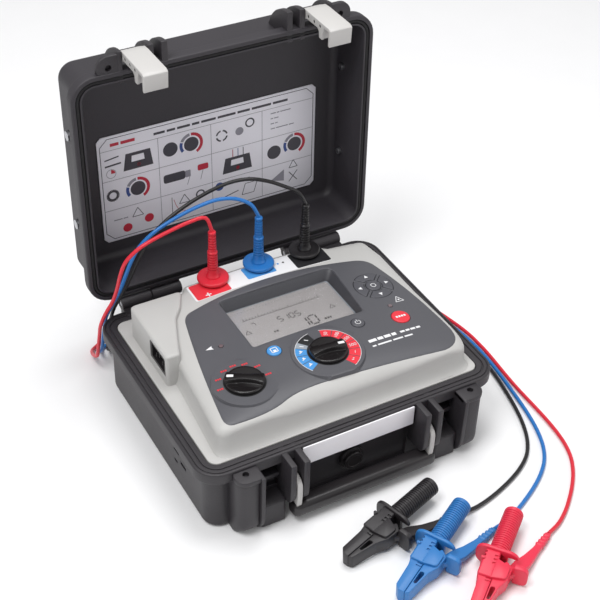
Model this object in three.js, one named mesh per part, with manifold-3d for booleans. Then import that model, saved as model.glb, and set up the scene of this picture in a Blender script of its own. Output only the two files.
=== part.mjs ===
// Insulation resistance tester in a hinged carry case, with three plug-in test leads and clips.
// Millimetres, +Z up. The origin is at the middle of the case footprint, on the floor.
// +X is the user's right, +Y points to the hinge side, and the latches and handle face -Y.
// The case stands open: the lid parts are drawn shut and turned about the hinge as one group.

import * as THREE from 'three';
import { mergeVertices } from 'three/addons/utils/BufferGeometryUtils.js';
import Module from 'manifold-3d';

const wasm = await Module();
wasm.setup();

// ---------------------------------------------------------------- driving dimensions
const CASE_W = 315;          // across the rim, X
const CASE_D = 249;          // across the rim, Y
const CORNER_R = 24;         // rim corner radius in plan
const RIM_Z = 75.5;          // top of the base rim
const RIM_T = 12;            // height of each rim flange
const TUB_W = 298.6;         // tub and lid shell, outside
const TUB_D = 232.6;
const TUB_R = 18;
const LID_GAP = 0.4;         // between the two rims when shut
const LID_TOP_Z = 133;       // top of the shut lid
const LID_ROOF_Z = 129.2;    // underside of the lid roof, shut
const HINGE = { y: 134, z: 78, pinR: 2.5, boreR: 2.9, knuckleR: 7 };
const LID_OPEN = 91;         // degrees the lid stands open
const FIT = 0.3;             // gap between pieces that only touch

const LATCH = { x0: 81.2, x1: 104.8, pivotY: -132, pivotZ: 88, pinR: 2, boreR: 2.4 };
const RIB_A = [74.7, 80.5];  // outer rib of each handle pair, X from the middle
const RIB_B = [61.2, 67.3];  // inner rib
const GUARD = [105.5, 109.5];
const LUG = { x: 119.1, y: -129.6, r: 11.5, holeR: 3.1 };
const RIB_FRONT_Y = -143.5;

const HANDLE = { y: -133.5, z: 43.5, pinR: 1.9, boreR: 2.3, armX0: 68.4, armX1: 73.6 };
const GRIP = { halfW: 76, y0: -146, y1: -129.4, z0: 6.5, z1: 22.5 };

const CROWN_Z = 110;         // highest line of the instrument panel
const CROWN_DROP = 7;        // how far the panel falls at SIDE_X
const SIDE_X = 130;
const ROLL_Y = -62;          // in front of this line the panel rolls down
const ROLL_DROP = 9;
const ROLL_LENGTH = 42;
const FACIA_T = 2.5;
const BOARD_Z = 86;
const BOARD_T = 1.6;

const VOLTAGE_KNOB = { x: 4, y: -57, r: 18.2, padR: 35, padZ: 110.7, pointer: -5.5 };
const MODE_KNOB = { x: -83, y: -57, r: 18.6, padR: 31, padZ: 108.6, pointer: 150 };
const KNOB_H = 7;
const NAV = { x: 95.8, y: 12.7, rOut: 20, rIn: 9.6, gap: 1.8 };
const KEYS = {
  save_button: { x: -39.7, y: -32.2, r: 7 },
  power_button: { x: 51, y: -32.5, r: 6.6 },
  test_button: { x: 94.3, y: -41, r: 9.2 },
  ok_button: { x: NAV.x, y: NAV.y, r: 7.6 },
};
const KEY_PROUD = 1;         // keys stand this far above the facia
const KEY_BOTTOM_Z = BOARD_Z + BOARD_T + 4;
const LEDS = {
  charge_led: { x: -79.9, y: -1.8, r: 2.2 },
  high_voltage_led: { x: 94.2, y: -22, r: 2.2 },
};
const WINDOW = { x0: -53, x1: 64, y0: -17, y1: 50, z: 100.3, t: 2, slopeX: 6, slopeY: 7 };

const SOCKET_Y = 90.5;
const SOCKET = { r: 6.4, boreR: 2.7, proud: 1, depth: 26 };
const LEADS = [
  { colour: 'red', socket: 'terminal_positive', x: -43.3, paint: 0xd8222f },
  { colour: 'blue', socket: 'terminal_negative', x: 7.5, paint: 0x2a6fb8 },
  { colour: 'black', socket: 'terminal_guard', x: 60, paint: 0x1c1b1d },
];
const PLUG = { discR: 15.9, discT: 4.5, pinR: 2, pinL: 20 };
const BOOT = { rBase: 6.4, rLow: 4.9, rHigh: 4, midH: 29, topH: 54 };
const CABLE_R = 2;
const CABLE_Z = 2.4;         // cable centre height where it lies on the floor

// Clips lie on the floor on jaw and guard: jaw tip position, and heading of the handle.
const CLIPS = {
  black: { x: -60, y: -207.5, turn: 16.4 },
  blue: { x: -38, y: -264.5, turn: 29 },
  red: { x: 8.5, y: -310.5, turn: 38 },
};
const CLIP = {
  length: 118, splitY: -3, pinX: 44, pinY: -9, guardX: 62,
  tipZ: 8.3, tilt: 4.3,      // height of the axis at the tip, and its rise toward the handle
  armX: 116, armY: -33, armDrop: 13.6, midX: 80, midDrop: 9,
};

// ---------------------------------------------------------------- colours
const PAINT = {
  caseBlack: [0x3a393c, 0.6, 0],
  rubber: [0x161517, 0.85, 0],
  gripBlack: [0x211f21, 0.5, 0],
  warmGrey: [0xcdc8c4, 0.5, 0],
  latchWhite: [0xe2e0dc, 0.45, 0],
  facia: [0x5c5b61, 0.45, 0],
  knob: [0x1d1b1c, 0.35, 0],
  glass: [0xa5a1a0, 0.12, 0],
  label: [0xd8d6de, 0.4, 0],
  steel: [0xb9bbbf, 0.3, 0.95],
  brass: [0xb59a52, 0.35, 0.9],
  board: [0x1f5a3a, 0.6, 0],
  cell: [0x2d3340, 0.5, 0],
};

function material([colour, roughness, metalness]) {
  return new THREE.MeshStandardMaterial({ color: colour, roughness, metalness });
}

// ---------------------------------------------------------------- solids and placing
function solid(geometry) {
  const plain = geometry.index ? geometry.toNonIndexed() : geometry.clone();
  plain.deleteAttribute('normal');
  plain.deleteAttribute('uv');
  const merged = mergeVertices(plain, 1e-4);
  return new wasm.Manifold(new wasm.Mesh({
    numProp: 3,
    vertProperties: new Float32Array(merged.attributes.position.array),
    triVerts: new Uint32Array(merged.index.array),
  }));
}

function join(...parts) {
  return parts.reduce((all, part) => all.add(part));
}

function cut(body, ...tools) {
  return tools.reduce((left, tool) => left.subtract(tool), body);
}

function piece(name, shape, paint) {
  const mesh = shape.getMesh();
  const geometry = new THREE.BufferGeometry();
  geometry.setAttribute('position', new THREE.BufferAttribute(mesh.vertProperties, 3));
  geometry.setIndex(new THREE.BufferAttribute(mesh.triVerts, 1));
  geometry.computeVertexNormals();
  const made = new THREE.Mesh(geometry, material(paint));
  made.name = name;
  return made;
}

// A closed outline whose corners are rounded; each point is [x, y, radius].
function roundedOutline(points) {
  const shape = new THREE.Shape();
  points.forEach(([x, y, r], i) => {
    const here = new THREE.Vector2(x, y);
    const before = new THREE.Vector2(...points.at(i - 1).slice(0, 2)).sub(here).normalize();
    const after = new THREE.Vector2(...points[(i + 1) % points.length].slice(0, 2)).sub(here).normalize();
    const half = Math.acos(THREE.MathUtils.clamp(before.dot(after), -1, 1)) / 2;
    const back = r / Math.tan(half);
    const start = here.clone().addScaledVector(before, back);
    const end = here.clone().addScaledVector(after, back);
    if (i === 0) shape.moveTo(start.x, start.y);
    else shape.lineTo(start.x, start.y);
    if (r > 0) shape.quadraticCurveTo(x, y, end.x, end.y);
  });
  shape.closePath();
  return shape;
}

function rectangle(x0, y0, x1, y1, r = 0) {
  return roundedOutline([[x0, y0, r], [x1, y0, r], [x1, y1, r], [x0, y1, r]]);
}

function centredRectangle(w, d, r) {
  const shape = new THREE.Shape();
  const [x, y] = [w / 2, d / 2];
  shape.moveTo(-x + r, -y);
  shape.absarc(x - r, -y + r, r, -Math.PI / 2, 0);
  shape.absarc(x - r, y - r, r, 0, Math.PI / 2);
  shape.absarc(-x + r, y - r, r, Math.PI / 2, Math.PI);
  shape.absarc(-x + r, -y + r, r, Math.PI, Math.PI * 1.5);
  return shape;
}

// Extrude an outline upward from z0 to z1. A bevel pulls both end faces in.
function prism(shape, z0, z1, { bevel = 0, rings = 1, arc = 3 } = {}) {
  const geometry = new THREE.ExtrudeGeometry(shape, {
    depth: z1 - z0 - 2 * bevel,
    bevelEnabled: bevel > 0,
    bevelThickness: bevel,
    bevelSize: bevel,
    bevelOffset: -bevel,
    bevelSegments: rings,
    curveSegments: arc,
  });
  return solid(geometry.translate(0, 0, z0 + bevel));
}

// Extrude a (y, z) outline along X.
function alongX(shape, x0, x1, arc = 4) {
  const geometry = new THREE.ExtrudeGeometry(shape, {
    depth: x1 - x0, bevelEnabled: false, curveSegments: arc,
  });
  const turn = new THREE.Matrix4().makeBasis(
    new THREE.Vector3(0, 1, 0), new THREE.Vector3(0, 0, 1), new THREE.Vector3(1, 0, 0));
  return solid(geometry.applyMatrix4(turn).translate(x0, 0, 0));
}

// Extrude an (x, z) outline along Y.
function alongY(shape, y0, y1) {
  const geometry = new THREE.ExtrudeGeometry(shape, { depth: y1 - y0, bevelEnabled: false });
  const turn = new THREE.Matrix4().makeBasis(
    new THREE.Vector3(1, 0, 0), new THREE.Vector3(0, 0, 1), new THREE.Vector3(0, -1, 0));
  return solid(geometry.applyMatrix4(turn).translate(0, y1, 0));
}

function box(x0, x1, y0, y1, z0, z1) {
  const geometry = new THREE.BoxGeometry(x1 - x0, y1 - y0, z1 - z0);
  return solid(geometry.translate((x0 + x1) / 2, (y0 + y1) / 2, (z0 + z1) / 2));
}

function rodX(x0, x1, y, z, r, sides = 12) {
  const geometry = new THREE.CylinderGeometry(r, r, x1 - x0, sides);
  return solid(geometry.rotateZ(Math.PI / 2).translate((x0 + x1) / 2, y, z));
}

function rodY(y0, y1, x, z, r, sides = 12) {
  const geometry = new THREE.CylinderGeometry(r, r, y1 - y0, sides);
  return solid(geometry.translate(x, (y0 + y1) / 2, z));
}

function rodZ(z0, z1, x, y, r, sides = 16, topR = r) {
  const geometry = new THREE.CylinderGeometry(topR, r, z1 - z0, sides);
  return solid(geometry.rotateX(Math.PI / 2).translate(x, y, (z0 + z1) / 2));
}

function ring(w, d, r, insetOut, insetIn, z0, z1) {
  const outer = prism(centredRectangle(w - 2 * insetOut, d - 2 * insetOut, r - insetOut), z0, z1);
  const inner = prism(centredRectangle(w - 2 * insetIn, d - 2 * insetIn, r - insetIn), z0 - 1, z1 + 1);
  return outer.subtract(inner);
}

function bothSides(make) {
  return join(make(1), make(-1));
}

// An X span measured from the middle, on the side given by its sign.
function span(side, near, far) {
  return side > 0 ? [near, far] : [-far, -near];
}

// ---------------------------------------------------------------- case: shared shapes
// Side view of the ribs and guards on the front wall: below the rim on the base, and the
// same idea above the rim on the lid. Points are (y, z).
function baseRibOutline() {
  const shape = new THREE.Shape();
  shape.moveTo(-112, RIM_Z - 0.7);
  shape.lineTo(-112, 24);
  shape.lineTo(-133, 24);
  shape.quadraticCurveTo(-142.5, 25, -143, 36);
  shape.lineTo(RIB_FRONT_Y, RIM_Z - 0.7);
  shape.closePath();
  return shape;
}

function baseGuardOutline(topZ) {
  const shape = new THREE.Shape();
  shape.moveTo(-110, topZ);
  shape.lineTo(-110, 1);
  shape.lineTo(-131, 1);
  shape.quadraticCurveTo(-141.5, 3, -142.2, 24);
  shape.lineTo(-142.5, topZ);
  shape.closePath();
  return shape;
}

function lidRibOutline() {
  const shape = new THREE.Shape();
  shape.moveTo(-112, RIM_Z + 1.1);
  shape.lineTo(RIB_FRONT_Y, RIM_Z + 1.1);
  shape.quadraticCurveTo(-142.5, 106, -114, 116);
  shape.lineTo(-112, 116);
  shape.closePath();
  return shape;
}

function lugTab(side, z0, z1) {
  const x = side * LUG.x;
  const [x0, x1] = span(side, GUARD[0], LUG.x);
  return join(rodZ(z0, z1, x, LUG.y, LUG.r), box(x0, x1, LUG.y - LUG.r, -116, z0, z1));
}

function lugColumn(side, z0, z1) {
  const [x0, x1] = span(side, GUARD[0], LUG.x);
  return join(
    rodZ(z0, z1, side * 120, LUG.y, 10),
    box(...span(side, 110, 130), LUG.y, -112, z0, z1),
    box(x0, x1, -137.5, -112, z0, z1));
}

function knuckle(side, near, far) {
  const [x0, x1] = span(side, near, far);
  return rodX(x0, x1, HINGE.y, HINGE.z, HINGE.knuckleR);
}

// ---------------------------------------------------------------- case base
function caseBase() {
  const flangeZ = RIM_Z - RIM_T;
  const topOfLug = RIM_Z - 2.7;
  const tub = prism(centredRectangle(TUB_W, TUB_D, TUB_R), 0, RIM_Z - 2, { bevel: 5, rings: 2 });
  const flange = prism(centredRectangle(CASE_W, CASE_D, CORNER_R), flangeZ, RIM_Z, { bevel: 1.2 });
  const cavity = prism(centredRectangle(276, 212, 12), 4, RIM_Z + 5);
  const ledge = prism(centredRectangle(CASE_W - 28.6, CASE_D - 28.6, 11), RIM_Z - 3.5, RIM_Z + 5);

  const handleBay = box(-59.9, 59.9, -126, -112, -1, 50);
  const latchBays = bothSides((s) => box(...span(s, 80, 106), -124, -111, 31, flangeZ));
  const plateBoss = box(-60.9, 60.9, -CASE_D / 2, -114, 51, flangeZ + 1);
  const catchBars = bothSides((s) => box(...span(s, 80, 106), -120.5, -110, 44, 49));
  const bayFeet = bothSides((s) => prism(latchFoot(s), 0.5, 27, { bevel: 1.5 }));

  const ribs = bothSides((s) => join(
    alongX(baseRibOutline(), ...span(s, ...RIB_A)),
    alongX(baseRibOutline(), ...span(s, ...RIB_B))));
  const guards = bothSides((s) => join(
    alongX(baseGuardOutline(topOfLug), ...span(s, ...GUARD)),
    lugColumn(s, 0, topOfLug - 4).intersect(alongX(baseGuardOutline(topOfLug), ...span(s, 104, 132))),
    lugTab(s, topOfLug - 5, topOfLug)));

  const knuckles = bothSides((s) => join(
    knuckle(s, 93.3, 126),
    box(...span(s, 93.3, 126), 116, HINGE.y, 67, HINGE.z - 2.6)));
  const bores = bothSides((s) => join(
    rodX(...span(s, 90, 130), HINGE.y, HINGE.z, HINGE.boreR),
    rodX(...span(s, 60, 81), HANDLE.y, HANDLE.z, HANDLE.boreR),
    rodZ(40, 80, s * LUG.x, LUG.y, LUG.holeR)));

  const gasketTracks = join(
    ring(CASE_W, CASE_D, CORNER_R, 2.6, 3.8, RIM_Z - 1, RIM_Z + 1),
    ring(CASE_W, CASE_D, CORNER_R, 7, 8.6, RIM_Z - 1, RIM_Z + 1));
  const valveHole = rodY(-120, -104, 0, 24.8, 6);
  const sideSlots = bothSides((s) => join(
    box(...span(s, 147.6, 152), -53, -42, 41, 46),
    box(...span(s, 147.6, 152), -49, -42.5, 27, 30),
    box(...span(s, 147.6, 152), -68, -56, 33.5, 37.5)));

  const shell = cut(join(tub, flange), cavity, ledge, handleBay, latchBays, gasketTracks, valveHole, sideSlots);
  const fittings = join(plateBoss, catchBars, bayFeet, ribs, guards, knuckles);
  return cut(join(shell, fittings), bores, join(cavity, ledge));
}

// Plan of the filled foot under each latch.
function latchFoot(side) {
  const [x0, x1] = span(side, 80, 106);
  return rectangle(x0, -135, x1, -113, 4);
}

// ---------------------------------------------------------------- case lid, drawn shut
function caseLid() {
  const rim = RIM_Z + LID_GAP;
  const roof = prism(centredRectangle(TUB_W, TUB_D, TUB_R), rim + 4, LID_TOP_Z, { bevel: 5, rings: 2 });
  const flange = prism(centredRectangle(CASE_W, CASE_D, CORNER_R), rim, rim + RIM_T, { bevel: 1.2 });
  const cavity = prism(centredRectangle(293, 227.4, 14), rim - 10, LID_ROOF_Z, { bevel: 3 });
  const sealGroove = ring(CASE_W, CASE_D, CORNER_R, 4.3, 8.7, rim - 1, rim + 4);

  const ribs = bothSides((s) => join(
    alongX(lidRibOutline(), ...span(s, ...RIB_A)),
    alongX(lidRibOutline(), ...span(s, ...RIB_B))));
  const lugBottom = rim + 1;
  const guards = bothSides((s) => join(
    alongX(lidRibOutline(), ...span(s, ...GUARD)),
    lugColumn(s, lugBottom + 4, 118).intersect(alongX(lidRibOutline(), ...span(s, 104, 132))),
    lugTab(s, lugBottom, lugBottom + 5)));
  const knuckles = bothSides((s) => join(
    knuckle(s, 60.3, 92.7),
    box(...span(s, 60.3, 92.7), 116, HINGE.y, HINGE.z + 0.6, HINGE.z + 8.5)));

  const bores = bothSides((s) => join(
    rodX(...span(s, 58, 95), HINGE.y, HINGE.z, HINGE.boreR),
    rodX(...span(s, 74, 110), LATCH.pivotY, LATCH.pivotZ, LATCH.boreR),
    rodZ(70, 108, s * LUG.x, LUG.y, LUG.holeR)));
  const studHoles = bothSides((s) => join(
    rodX(...span(s, 140, 155), 50, 113, 2.3, 8),
    rodX(...span(s, 140, 155), -50, 113, 2.3, 8)));

  const body = join(roof, flange, ribs, guards, knuckles);
  return cut(body, cavity, sealGroove, bores, studHoles);
}

function lidSeal() {
  const rim = RIM_Z + LID_GAP;
  return ring(CASE_W, CASE_D, CORNER_R, 4.6, 8.4, rim + 1, rim + 4 - FIT);
}

function lidLabel() {
  const top = LID_ROOF_Z - FIT;
  const corner = 7;
  const [x0, x1, y0, y1] = [-119, 123.5, -28.6, 94];
  const shape = new THREE.Shape([
    [x0 + corner, y0], [x1 - corner, y0], [x1, y0 + corner], [x1, y1 - corner],
    [x1 - corner, y1], [x0 + corner, y1], [x0, y1 - corner], [x0, y0 + corner],
  ].map(([x, y]) => new THREE.Vector2(x, y)));
  return prism(shape, top - 0.8, top);
}

// A rivet through the lid side wall: domed head outside, bright closed end inside.
function lidStud(side, y) {
  return join(
    rodX(...span(side, 149.3 + FIT, 152.4), y, 113, 5, 12),
    rodX(...span(side, 143, 150), y, 113, 2, 8),
    rodX(...span(side, 143, 146.5 - FIT), y, 113, 3.4, 8));
}

// ---------------------------------------------------------------- latches, drawn shut
function latch(side) {
  const { x0, x1, pivotY, pivotZ, boreR } = LATCH;
  const plate = new THREE.Shape([
    [-139.6, 30.6], [-122.8, 36.6], [-123.6, 39.6], [-137.2, 34.8],
    [-138.2, 74], [-134.5, 80], [-128, 84], [-128, 92], [-136, 92],
    [-141.6, 80], [-142, 74], [-141.4, 34],
  ].map(([y, z]) => new THREE.Vector2(y, z)));
  const cheek = new THREE.Shape([
    [-141, 72], [-130.2, 72], [-130.2, 60], [-127, 54], [-124.2, 42.5], [-130, 41.2], [-133, 52], [-141, 58],
  ].map(([y, z]) => new THREE.Vector2(y, z)));
  const [a, b] = span(side, x0, x1);
  const body = join(
    alongX(plate, a, b),
    rodX(a, b, pivotY, pivotZ, 5.4),
    alongX(cheek, a, a + 2.6),
    alongX(cheek, b - 2.6, b));
  const cheekHoles = join(...[62, 66, 70].map((z) => rodX(a - 1, a + 4, -136.6 + (70 - z) / 4, z, 1, 8)));
  return cut(body, rodX(a - 1, b + 1, pivotY, pivotZ, boreR), cheekHoles);
}

// ---------------------------------------------------------------- carry handle
function handleFrame() {
  const arm = new THREE.Shape();
  const shoulder = 10.5;
  arm.moveTo(HANDLE.y + 5, 10);
  arm.lineTo(HANDLE.y + 5, HANDLE.z - 8);
  arm.absarc(HANDLE.y, HANDLE.z, shoulder, -0.9, Math.PI - 0.1, false);
  arm.quadraticCurveTo(-144.2, 30, -141.5, 10);
  arm.closePath();
  const bar = box(-HANDLE.armX1, HANDLE.armX1, -141, -134, 10.3, 16.3);
  const arms = bothSides((s) => alongX(arm, ...span(s, HANDLE.armX0, HANDLE.armX1)));
  return cut(join(arms, bar), rodX(-80, 80, HANDLE.y, HANDLE.z, HANDLE.boreR));
}

function handleGrip() {
  const { halfW, y0, y1, z0, z1 } = GRIP;
  const side = roundedOutline([[y0, z0, 6], [y1, z0, 6], [y1, z1, 4], [y0, z1, 6]]);
  const plan = prism(rectangle(-halfW, y0 - 1, halfW, y1 + 1, 6), 0, 30);
  const core = box(-HANDLE.armX1 - FIT, HANDLE.armX1 + FIT, -141 - FIT, -134 + FIT, 10, 16.6);
  const slots = bothSides((s) => box(...span(s, HANDLE.armX0 - FIT, HANDLE.armX1 + FIT), -143.4, -128, 9.7, 30));
  return cut(alongX(side, -halfW, halfW).intersect(plan), core, slots);
}

function handlePin(side) {
  return rodX(...span(side, RIB_B[0] + 0.4, RIB_A[1] - 0.4), HANDLE.y, HANDLE.z, HANDLE.pinR);
}

function frontPlate() {
  return prism(rectangle(-59.3, -126.3, 59.3, -CASE_D / 2 - FIT), 52, RIM_Z - 1.5);
}

function reliefValve() {
  const grip = join(...[0, 1, 2].map((i) => {
    const bar = new THREE.BoxGeometry(21, 3, 4).rotateY((i * Math.PI) / 3).translate(0, -118.6, 24.8);
    return solid(bar);
  }));
  return join(rodY(-118, -112 - FIT, 0, 24.8, 12.6, 24), rodY(-113, -103, 0, 24.8, 5.6), grip);
}

// ---------------------------------------------------------------- panel surface
// Everything below the crowned panel surface, lowered or raised by an offset.
function crownHeight(x) {
  return CROWN_Z - CROWN_DROP * (x / SIDE_X) ** 2;
}

function underCrown(offset) {
  const across = new THREE.Shape();
  across.moveTo(-160, 20);
  across.lineTo(160, 20);
  for (let x = 160; x >= -160; x -= 40) across.lineTo(x, crownHeight(x) + offset);
  across.closePath();
  const down = new THREE.Shape();
  down.moveTo(130, 20);
  down.lineTo(130, CROWN_Z + 5);
  down.lineTo(ROLL_Y, CROWN_Z + offset + 0.2);
  for (let step = 1; step <= 5; step += 1) {
    const y = ROLL_Y - (ROLL_LENGTH * step) / 4;
    down.lineTo(y, CROWN_Z + offset - ROLL_DROP * (step / 4) ** 2);
  }
  down.lineTo(-130, 20);
  down.closePath();
  return alongY(across, -130, 130).intersect(alongX(down, -160, 160));
}

function panelOutline(inset) {
  return roundedOutline([
    [-131 + inset, -101.5 + inset, 11], [134 - inset, -101.5 + inset, 13], [135 - inset, 60, 8],
    [130 - inset, 90 - inset, 10], [86 - inset, 92 - inset, 2], [81 - inset, 100 - inset, 4],
    [-72 + inset, 100 - inset, 4], [-77 + inset, 92 - inset, 2], [-126 + inset, 90 - inset, 5],
    [-122 + inset, -2, 4],
  ]);
}

function faciaOutline(inset) {
  const shape = new THREE.Shape();
  shape.moveTo(-112, -98 + inset);
  shape.quadraticCurveTo(0, -94 + inset, 108 - inset, -99 + inset);
  shape.quadraticCurveTo(131 - inset, -98 + inset, 130.5 - inset, -70);
  shape.quadraticCurveTo(129 - inset, -8, 116 - inset, 44);
  shape.quadraticCurveTo(113 - inset, 56 - inset, 98, 58.5 - inset);
  shape.quadraticCurveTo(0, 78 - inset, -84, 57.5 - inset);
  shape.quadraticCurveTo(-92 + inset, 55.5 - inset, -95 + inset, 45);
  shape.quadraticCurveTo(-111 + inset, -18, -121 + inset, -86);
  shape.quadraticCurveTo(-122.5 + inset, -98 + inset, -112, -98 + inset);
  return shape;
}

const inletBlock = { x0: -134, y0: 2, y1: 88, z1: 111.5, wall: 3 };
const inlet = { y0: 6, y1: 41, z0: 84, z1: 106 };

// Plan of the raised block round the mains inlet: its right side follows the facia.
function inletBlockOutline(inset) {
  const { x0, y0, y1 } = inletBlock;
  return roundedOutline([
    [x0 + inset, y0 + inset, 4], [-120 - inset, y0 + inset, 4], [-113 - inset, 22, 6],
    [-101 - inset, 52, 8], [-90 - inset, 66, 8], [-79 - inset, y1 - inset, 4], [x0 + inset, y1 - inset, 5],
  ]);
}

function topPanel() {
  const flange = prism(centredRectangle(CASE_W - 29.8, CASE_D - 29.8, 10.5), RIM_Z - 3.2, RIM_Z + 0.2);
  const { x0, y0, y1, z1, wall } = inletBlock;
  const outer = prism(panelOutline(0), RIM_Z - 1, 125).intersect(underCrown(0));
  const block = prism(inletBlockOutline(0), RIM_Z - 1, z1);
  const hollow = prism(panelOutline(3), 60, 125).intersect(underCrown(-6));
  const blockHollow = box(x0 + wall, -123.4, y0 + wall, y1 - wall, 60, z1 - wall);
  const faciaSeat = prism(faciaOutline(-FIT), 90, 125, { arc: 6 }).subtract(underCrown(-FACIA_T - FIT));
  const faciaWell = prism(faciaOutline(3.2), 60, 125, { arc: 6 });
  const sockets = join(...LEADS.map(({ x }) => rodZ(60, 125, x, SOCKET_Y, SOCKET.r + FIT)));
  const inletHole = box(x0 - 5, x0 + 5, inlet.y0, inlet.y1, inlet.z0, inlet.z1);
  const shell = cut(join(flange, outer, block), hollow, blockHollow);
  return cut(shell, faciaSeat, faciaWell, sockets, inletHole, flangeOpening());
}

// The tub side of the panel flange is open for the battery and the wiring.
function flangeOpening() {
  return prism(centredRectangle(236, 170, 10), 60, RIM_Z + 0.3);
}

// The sloping walls of the display recess, wider at the top and toward the back right.
function displayRecess() {
  const { x0, x1, y0, y1, z, slopeX, slopeY } = WINDOW;
  const geometry = new THREE.BoxGeometry(1, 1, 1).translate(0.5, 0.5, 0.5);
  const corner = geometry.attributes.position;
  for (let i = 0; i < corner.count; i += 1) {
    const top = corner.getZ(i) > 0.5;
    const x = corner.getX(i) > 0.5 ? x1 + (top ? slopeX : 0) : x0 - (top ? 1 : 0);
    const y = corner.getY(i) > 0.5 ? y1 + (top ? slopeY : 0) : y0 - (top ? 1 : 0);
    corner.setXYZ(i, x, y, top ? CROWN_Z + 2 : z - 3);
  }
  return solid(geometry);
}

function facia() {
  const skin = prism(faciaOutline(0), 80, 125, { arc: 6 })
    .intersect(underCrown(0.4)).subtract(underCrown(-FACIA_T));
  const frame = prism(rectangle(WINDOW.x0 - 5, WINDOW.y0 - 4, WINDOW.x1 + 9, WINDOW.y1 + WINDOW.slopeY + 1.5), WINDOW.z, 125)
    .intersect(underCrown(-1));
  const pads = join(...[VOLTAGE_KNOB, MODE_KNOB].map(({ x, y, padR, padZ }) => {
    const pad = rodZ(padZ - 14, padZ, x, y, padR + 0.6, 32, padR);
    return pad.intersect(prism(faciaOutline(0.5), 80, 125, { arc: 6 })).subtract(underCrown(-FACIA_T));
  }));
  const holes = [VOLTAGE_KNOB, MODE_KNOB].map(({ x, y }) => rodZ(80, 125, x, y, 4.2, 12));
  for (const { x, y, r } of Object.values(KEYS)) holes.push(rodZ(80, 125, x, y, r + 0.45, 20));
  for (const { x, y, r } of Object.values(LEDS)) holes.push(rodZ(80, 125, x, y, r + 0.3, 10));
  for (let i = 0; i < 4; i += 1) holes.push(navSector(i, 0.45, 80, 125));
  return cut(join(skin, frame, pads), displayRecess(), ...holes);
}

function displayWindow() {
  const { x0, x1, y0, y1, z, t } = WINDOW;
  return prism(rectangle(x0 - 4, y0 - 3, x1 + 4, y1 + 4, 3), z - FIT - t, z - FIT);
}

function displayModule() {
  const { x0, x1, y0, y1, z, t } = WINDOW;
  const top = z - t - 2 * FIT;
  return prism(rectangle(x0 - 5, y0 - 4, x1 + 5, y1 + 6, 1), top - 6, top, { bevel: 0.6 });
}

// ---------------------------------------------------------------- knobs and keys
function knob({ x, y, r, padZ, pointer }) {
  const z0 = padZ + 0.4;
  const skirt = join(
    rodZ(z0, z0 + 1.8, x, y, r, 28, r - 0.4),
    rodZ(z0 + 1.8, z0 + 3.4, x, y, r - 0.4, 28, r - 2.6));
  const bar = new THREE.Shape();
  bar.moveTo(-r + 2, -4);
  bar.quadraticCurveTo(0, -7.5, r - 2, -4);
  bar.lineTo(r - 2, 4);
  bar.quadraticCurveTo(0, 7.5, -r + 2, 4);
  bar.closePath();
  const gripShape = prism(bar, 0, KNOB_H - 1, { bevel: 1.2 })
    .rotate([0, 0, pointer]).translate([x, y, z0 + 1]);
  const shaft = rodZ(BOARD_Z + BOARD_T + 4, z0 + 1, x, y, 3, 12);
  return join(skirt, gripShape, shaft);
}

function key({ x, y, r }) {
  return rodZ(KEY_BOTTOM_Z, 125, x, y, r, 20).intersect(underCrown(KEY_PROUD + 0.4));
}

// One of the four arc-shaped cursor keys round the centre key.
function navSector(index, grow, z0, z1) {
  const { x, y, rOut, rIn, gap } = NAV;
  const middle = (index * Math.PI) / 2;
  const halfOut = Math.PI / 4 - (gap - grow) / rOut;
  const halfIn = Math.PI / 4 - (gap - grow) / rIn;
  const shape = new THREE.Shape();
  shape.absarc(x, y, rOut + grow, middle - halfOut, middle + halfOut, false);
  shape.absarc(x, y, rIn - grow, middle + halfIn, middle - halfIn, true);
  shape.closePath();
  return prism(shape, z0, z1, { arc: 3 });
}

function led({ x, y, r }) {
  return rodZ(BOARD_Z + BOARD_T + FIT, 125, x, y, r, 10).intersect(underCrown(1));
}

// ---------------------------------------------------------------- electrics
function terminal({ x }) {
  const top = crownHeight(x) + SOCKET.proud;
  const body = rodZ(top - SOCKET.depth - 2, top, x, SOCKET_Y, SOCKET.r);
  return cut(body, rodZ(top - SOCKET.depth, top + 1, x, SOCKET_Y, SOCKET.boreR, 12));
}

function mainsInlet() {
  const { x0 } = inletBlock;
  const g = FIT + 0.1;
  const shroud = box(x0 + 0.6, x0 + 9.8, inlet.y0 + g, inlet.y1 - g, inlet.z0 + g, inlet.z1 - g);
  const mouth = box(x0 - 1, x0 + 8, inlet.y0 + 4, inlet.y1 - 4, inlet.z0 + 3.5, inlet.z1 - 3.5);
  const middleY = (inlet.y0 + inlet.y1) / 2;
  const middleZ = (inlet.z0 + inlet.z1) / 2;
  const blades = [-7, 0, 7].map((dy, i) => {
    const z = middleZ + (i === 1 ? 2 : -2);
    return box(x0 + 2, x0 + 9, middleY + dy - 0.8, middleY + dy + 0.8, z - 2.5, z + 2.5);
  });
  return join(shroud.subtract(mouth), ...blades);
}

function mainBoard() {
  const plate = prism(rectangle(-104, -88, 112, 42, 3), BOARD_Z, BOARD_Z + BOARD_T);
  const posts = [[-90, 30], [105, 35], [-104 + 6, -80], [105, -80]].map(([x, y]) => {
    return rodZ(BOARD_Z + 1, 100, x, y, 3, 12).intersect(underCrown(-FACIA_T - FIT));
  });
  return join(plate, ...posts);
}

function rotarySwitch({ x, y }) {
  const z0 = BOARD_Z + BOARD_T + FIT;
  const body = prism(rectangle(x - 11, y - 11, x + 11, y + 11, 2), z0, z0 + 9);
  return cut(body, rodZ(z0 + 2, z0 + 12, x, y, 3.5, 12));
}

function highVoltageModule() {
  return prism(rectangle(28, -78, 122, 70, 6), 4 + FIT, 62, { bevel: 2 });
}

function batteryPack() {
  const cells = [];
  for (let i = 0; i < 5; i += 1) cells.push(rodY(-78, 70, -102 + i * 25, 18, 13.2, 10));
  return join(...cells, box(-102, -2, -76, 68, 8, 28));
}

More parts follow.
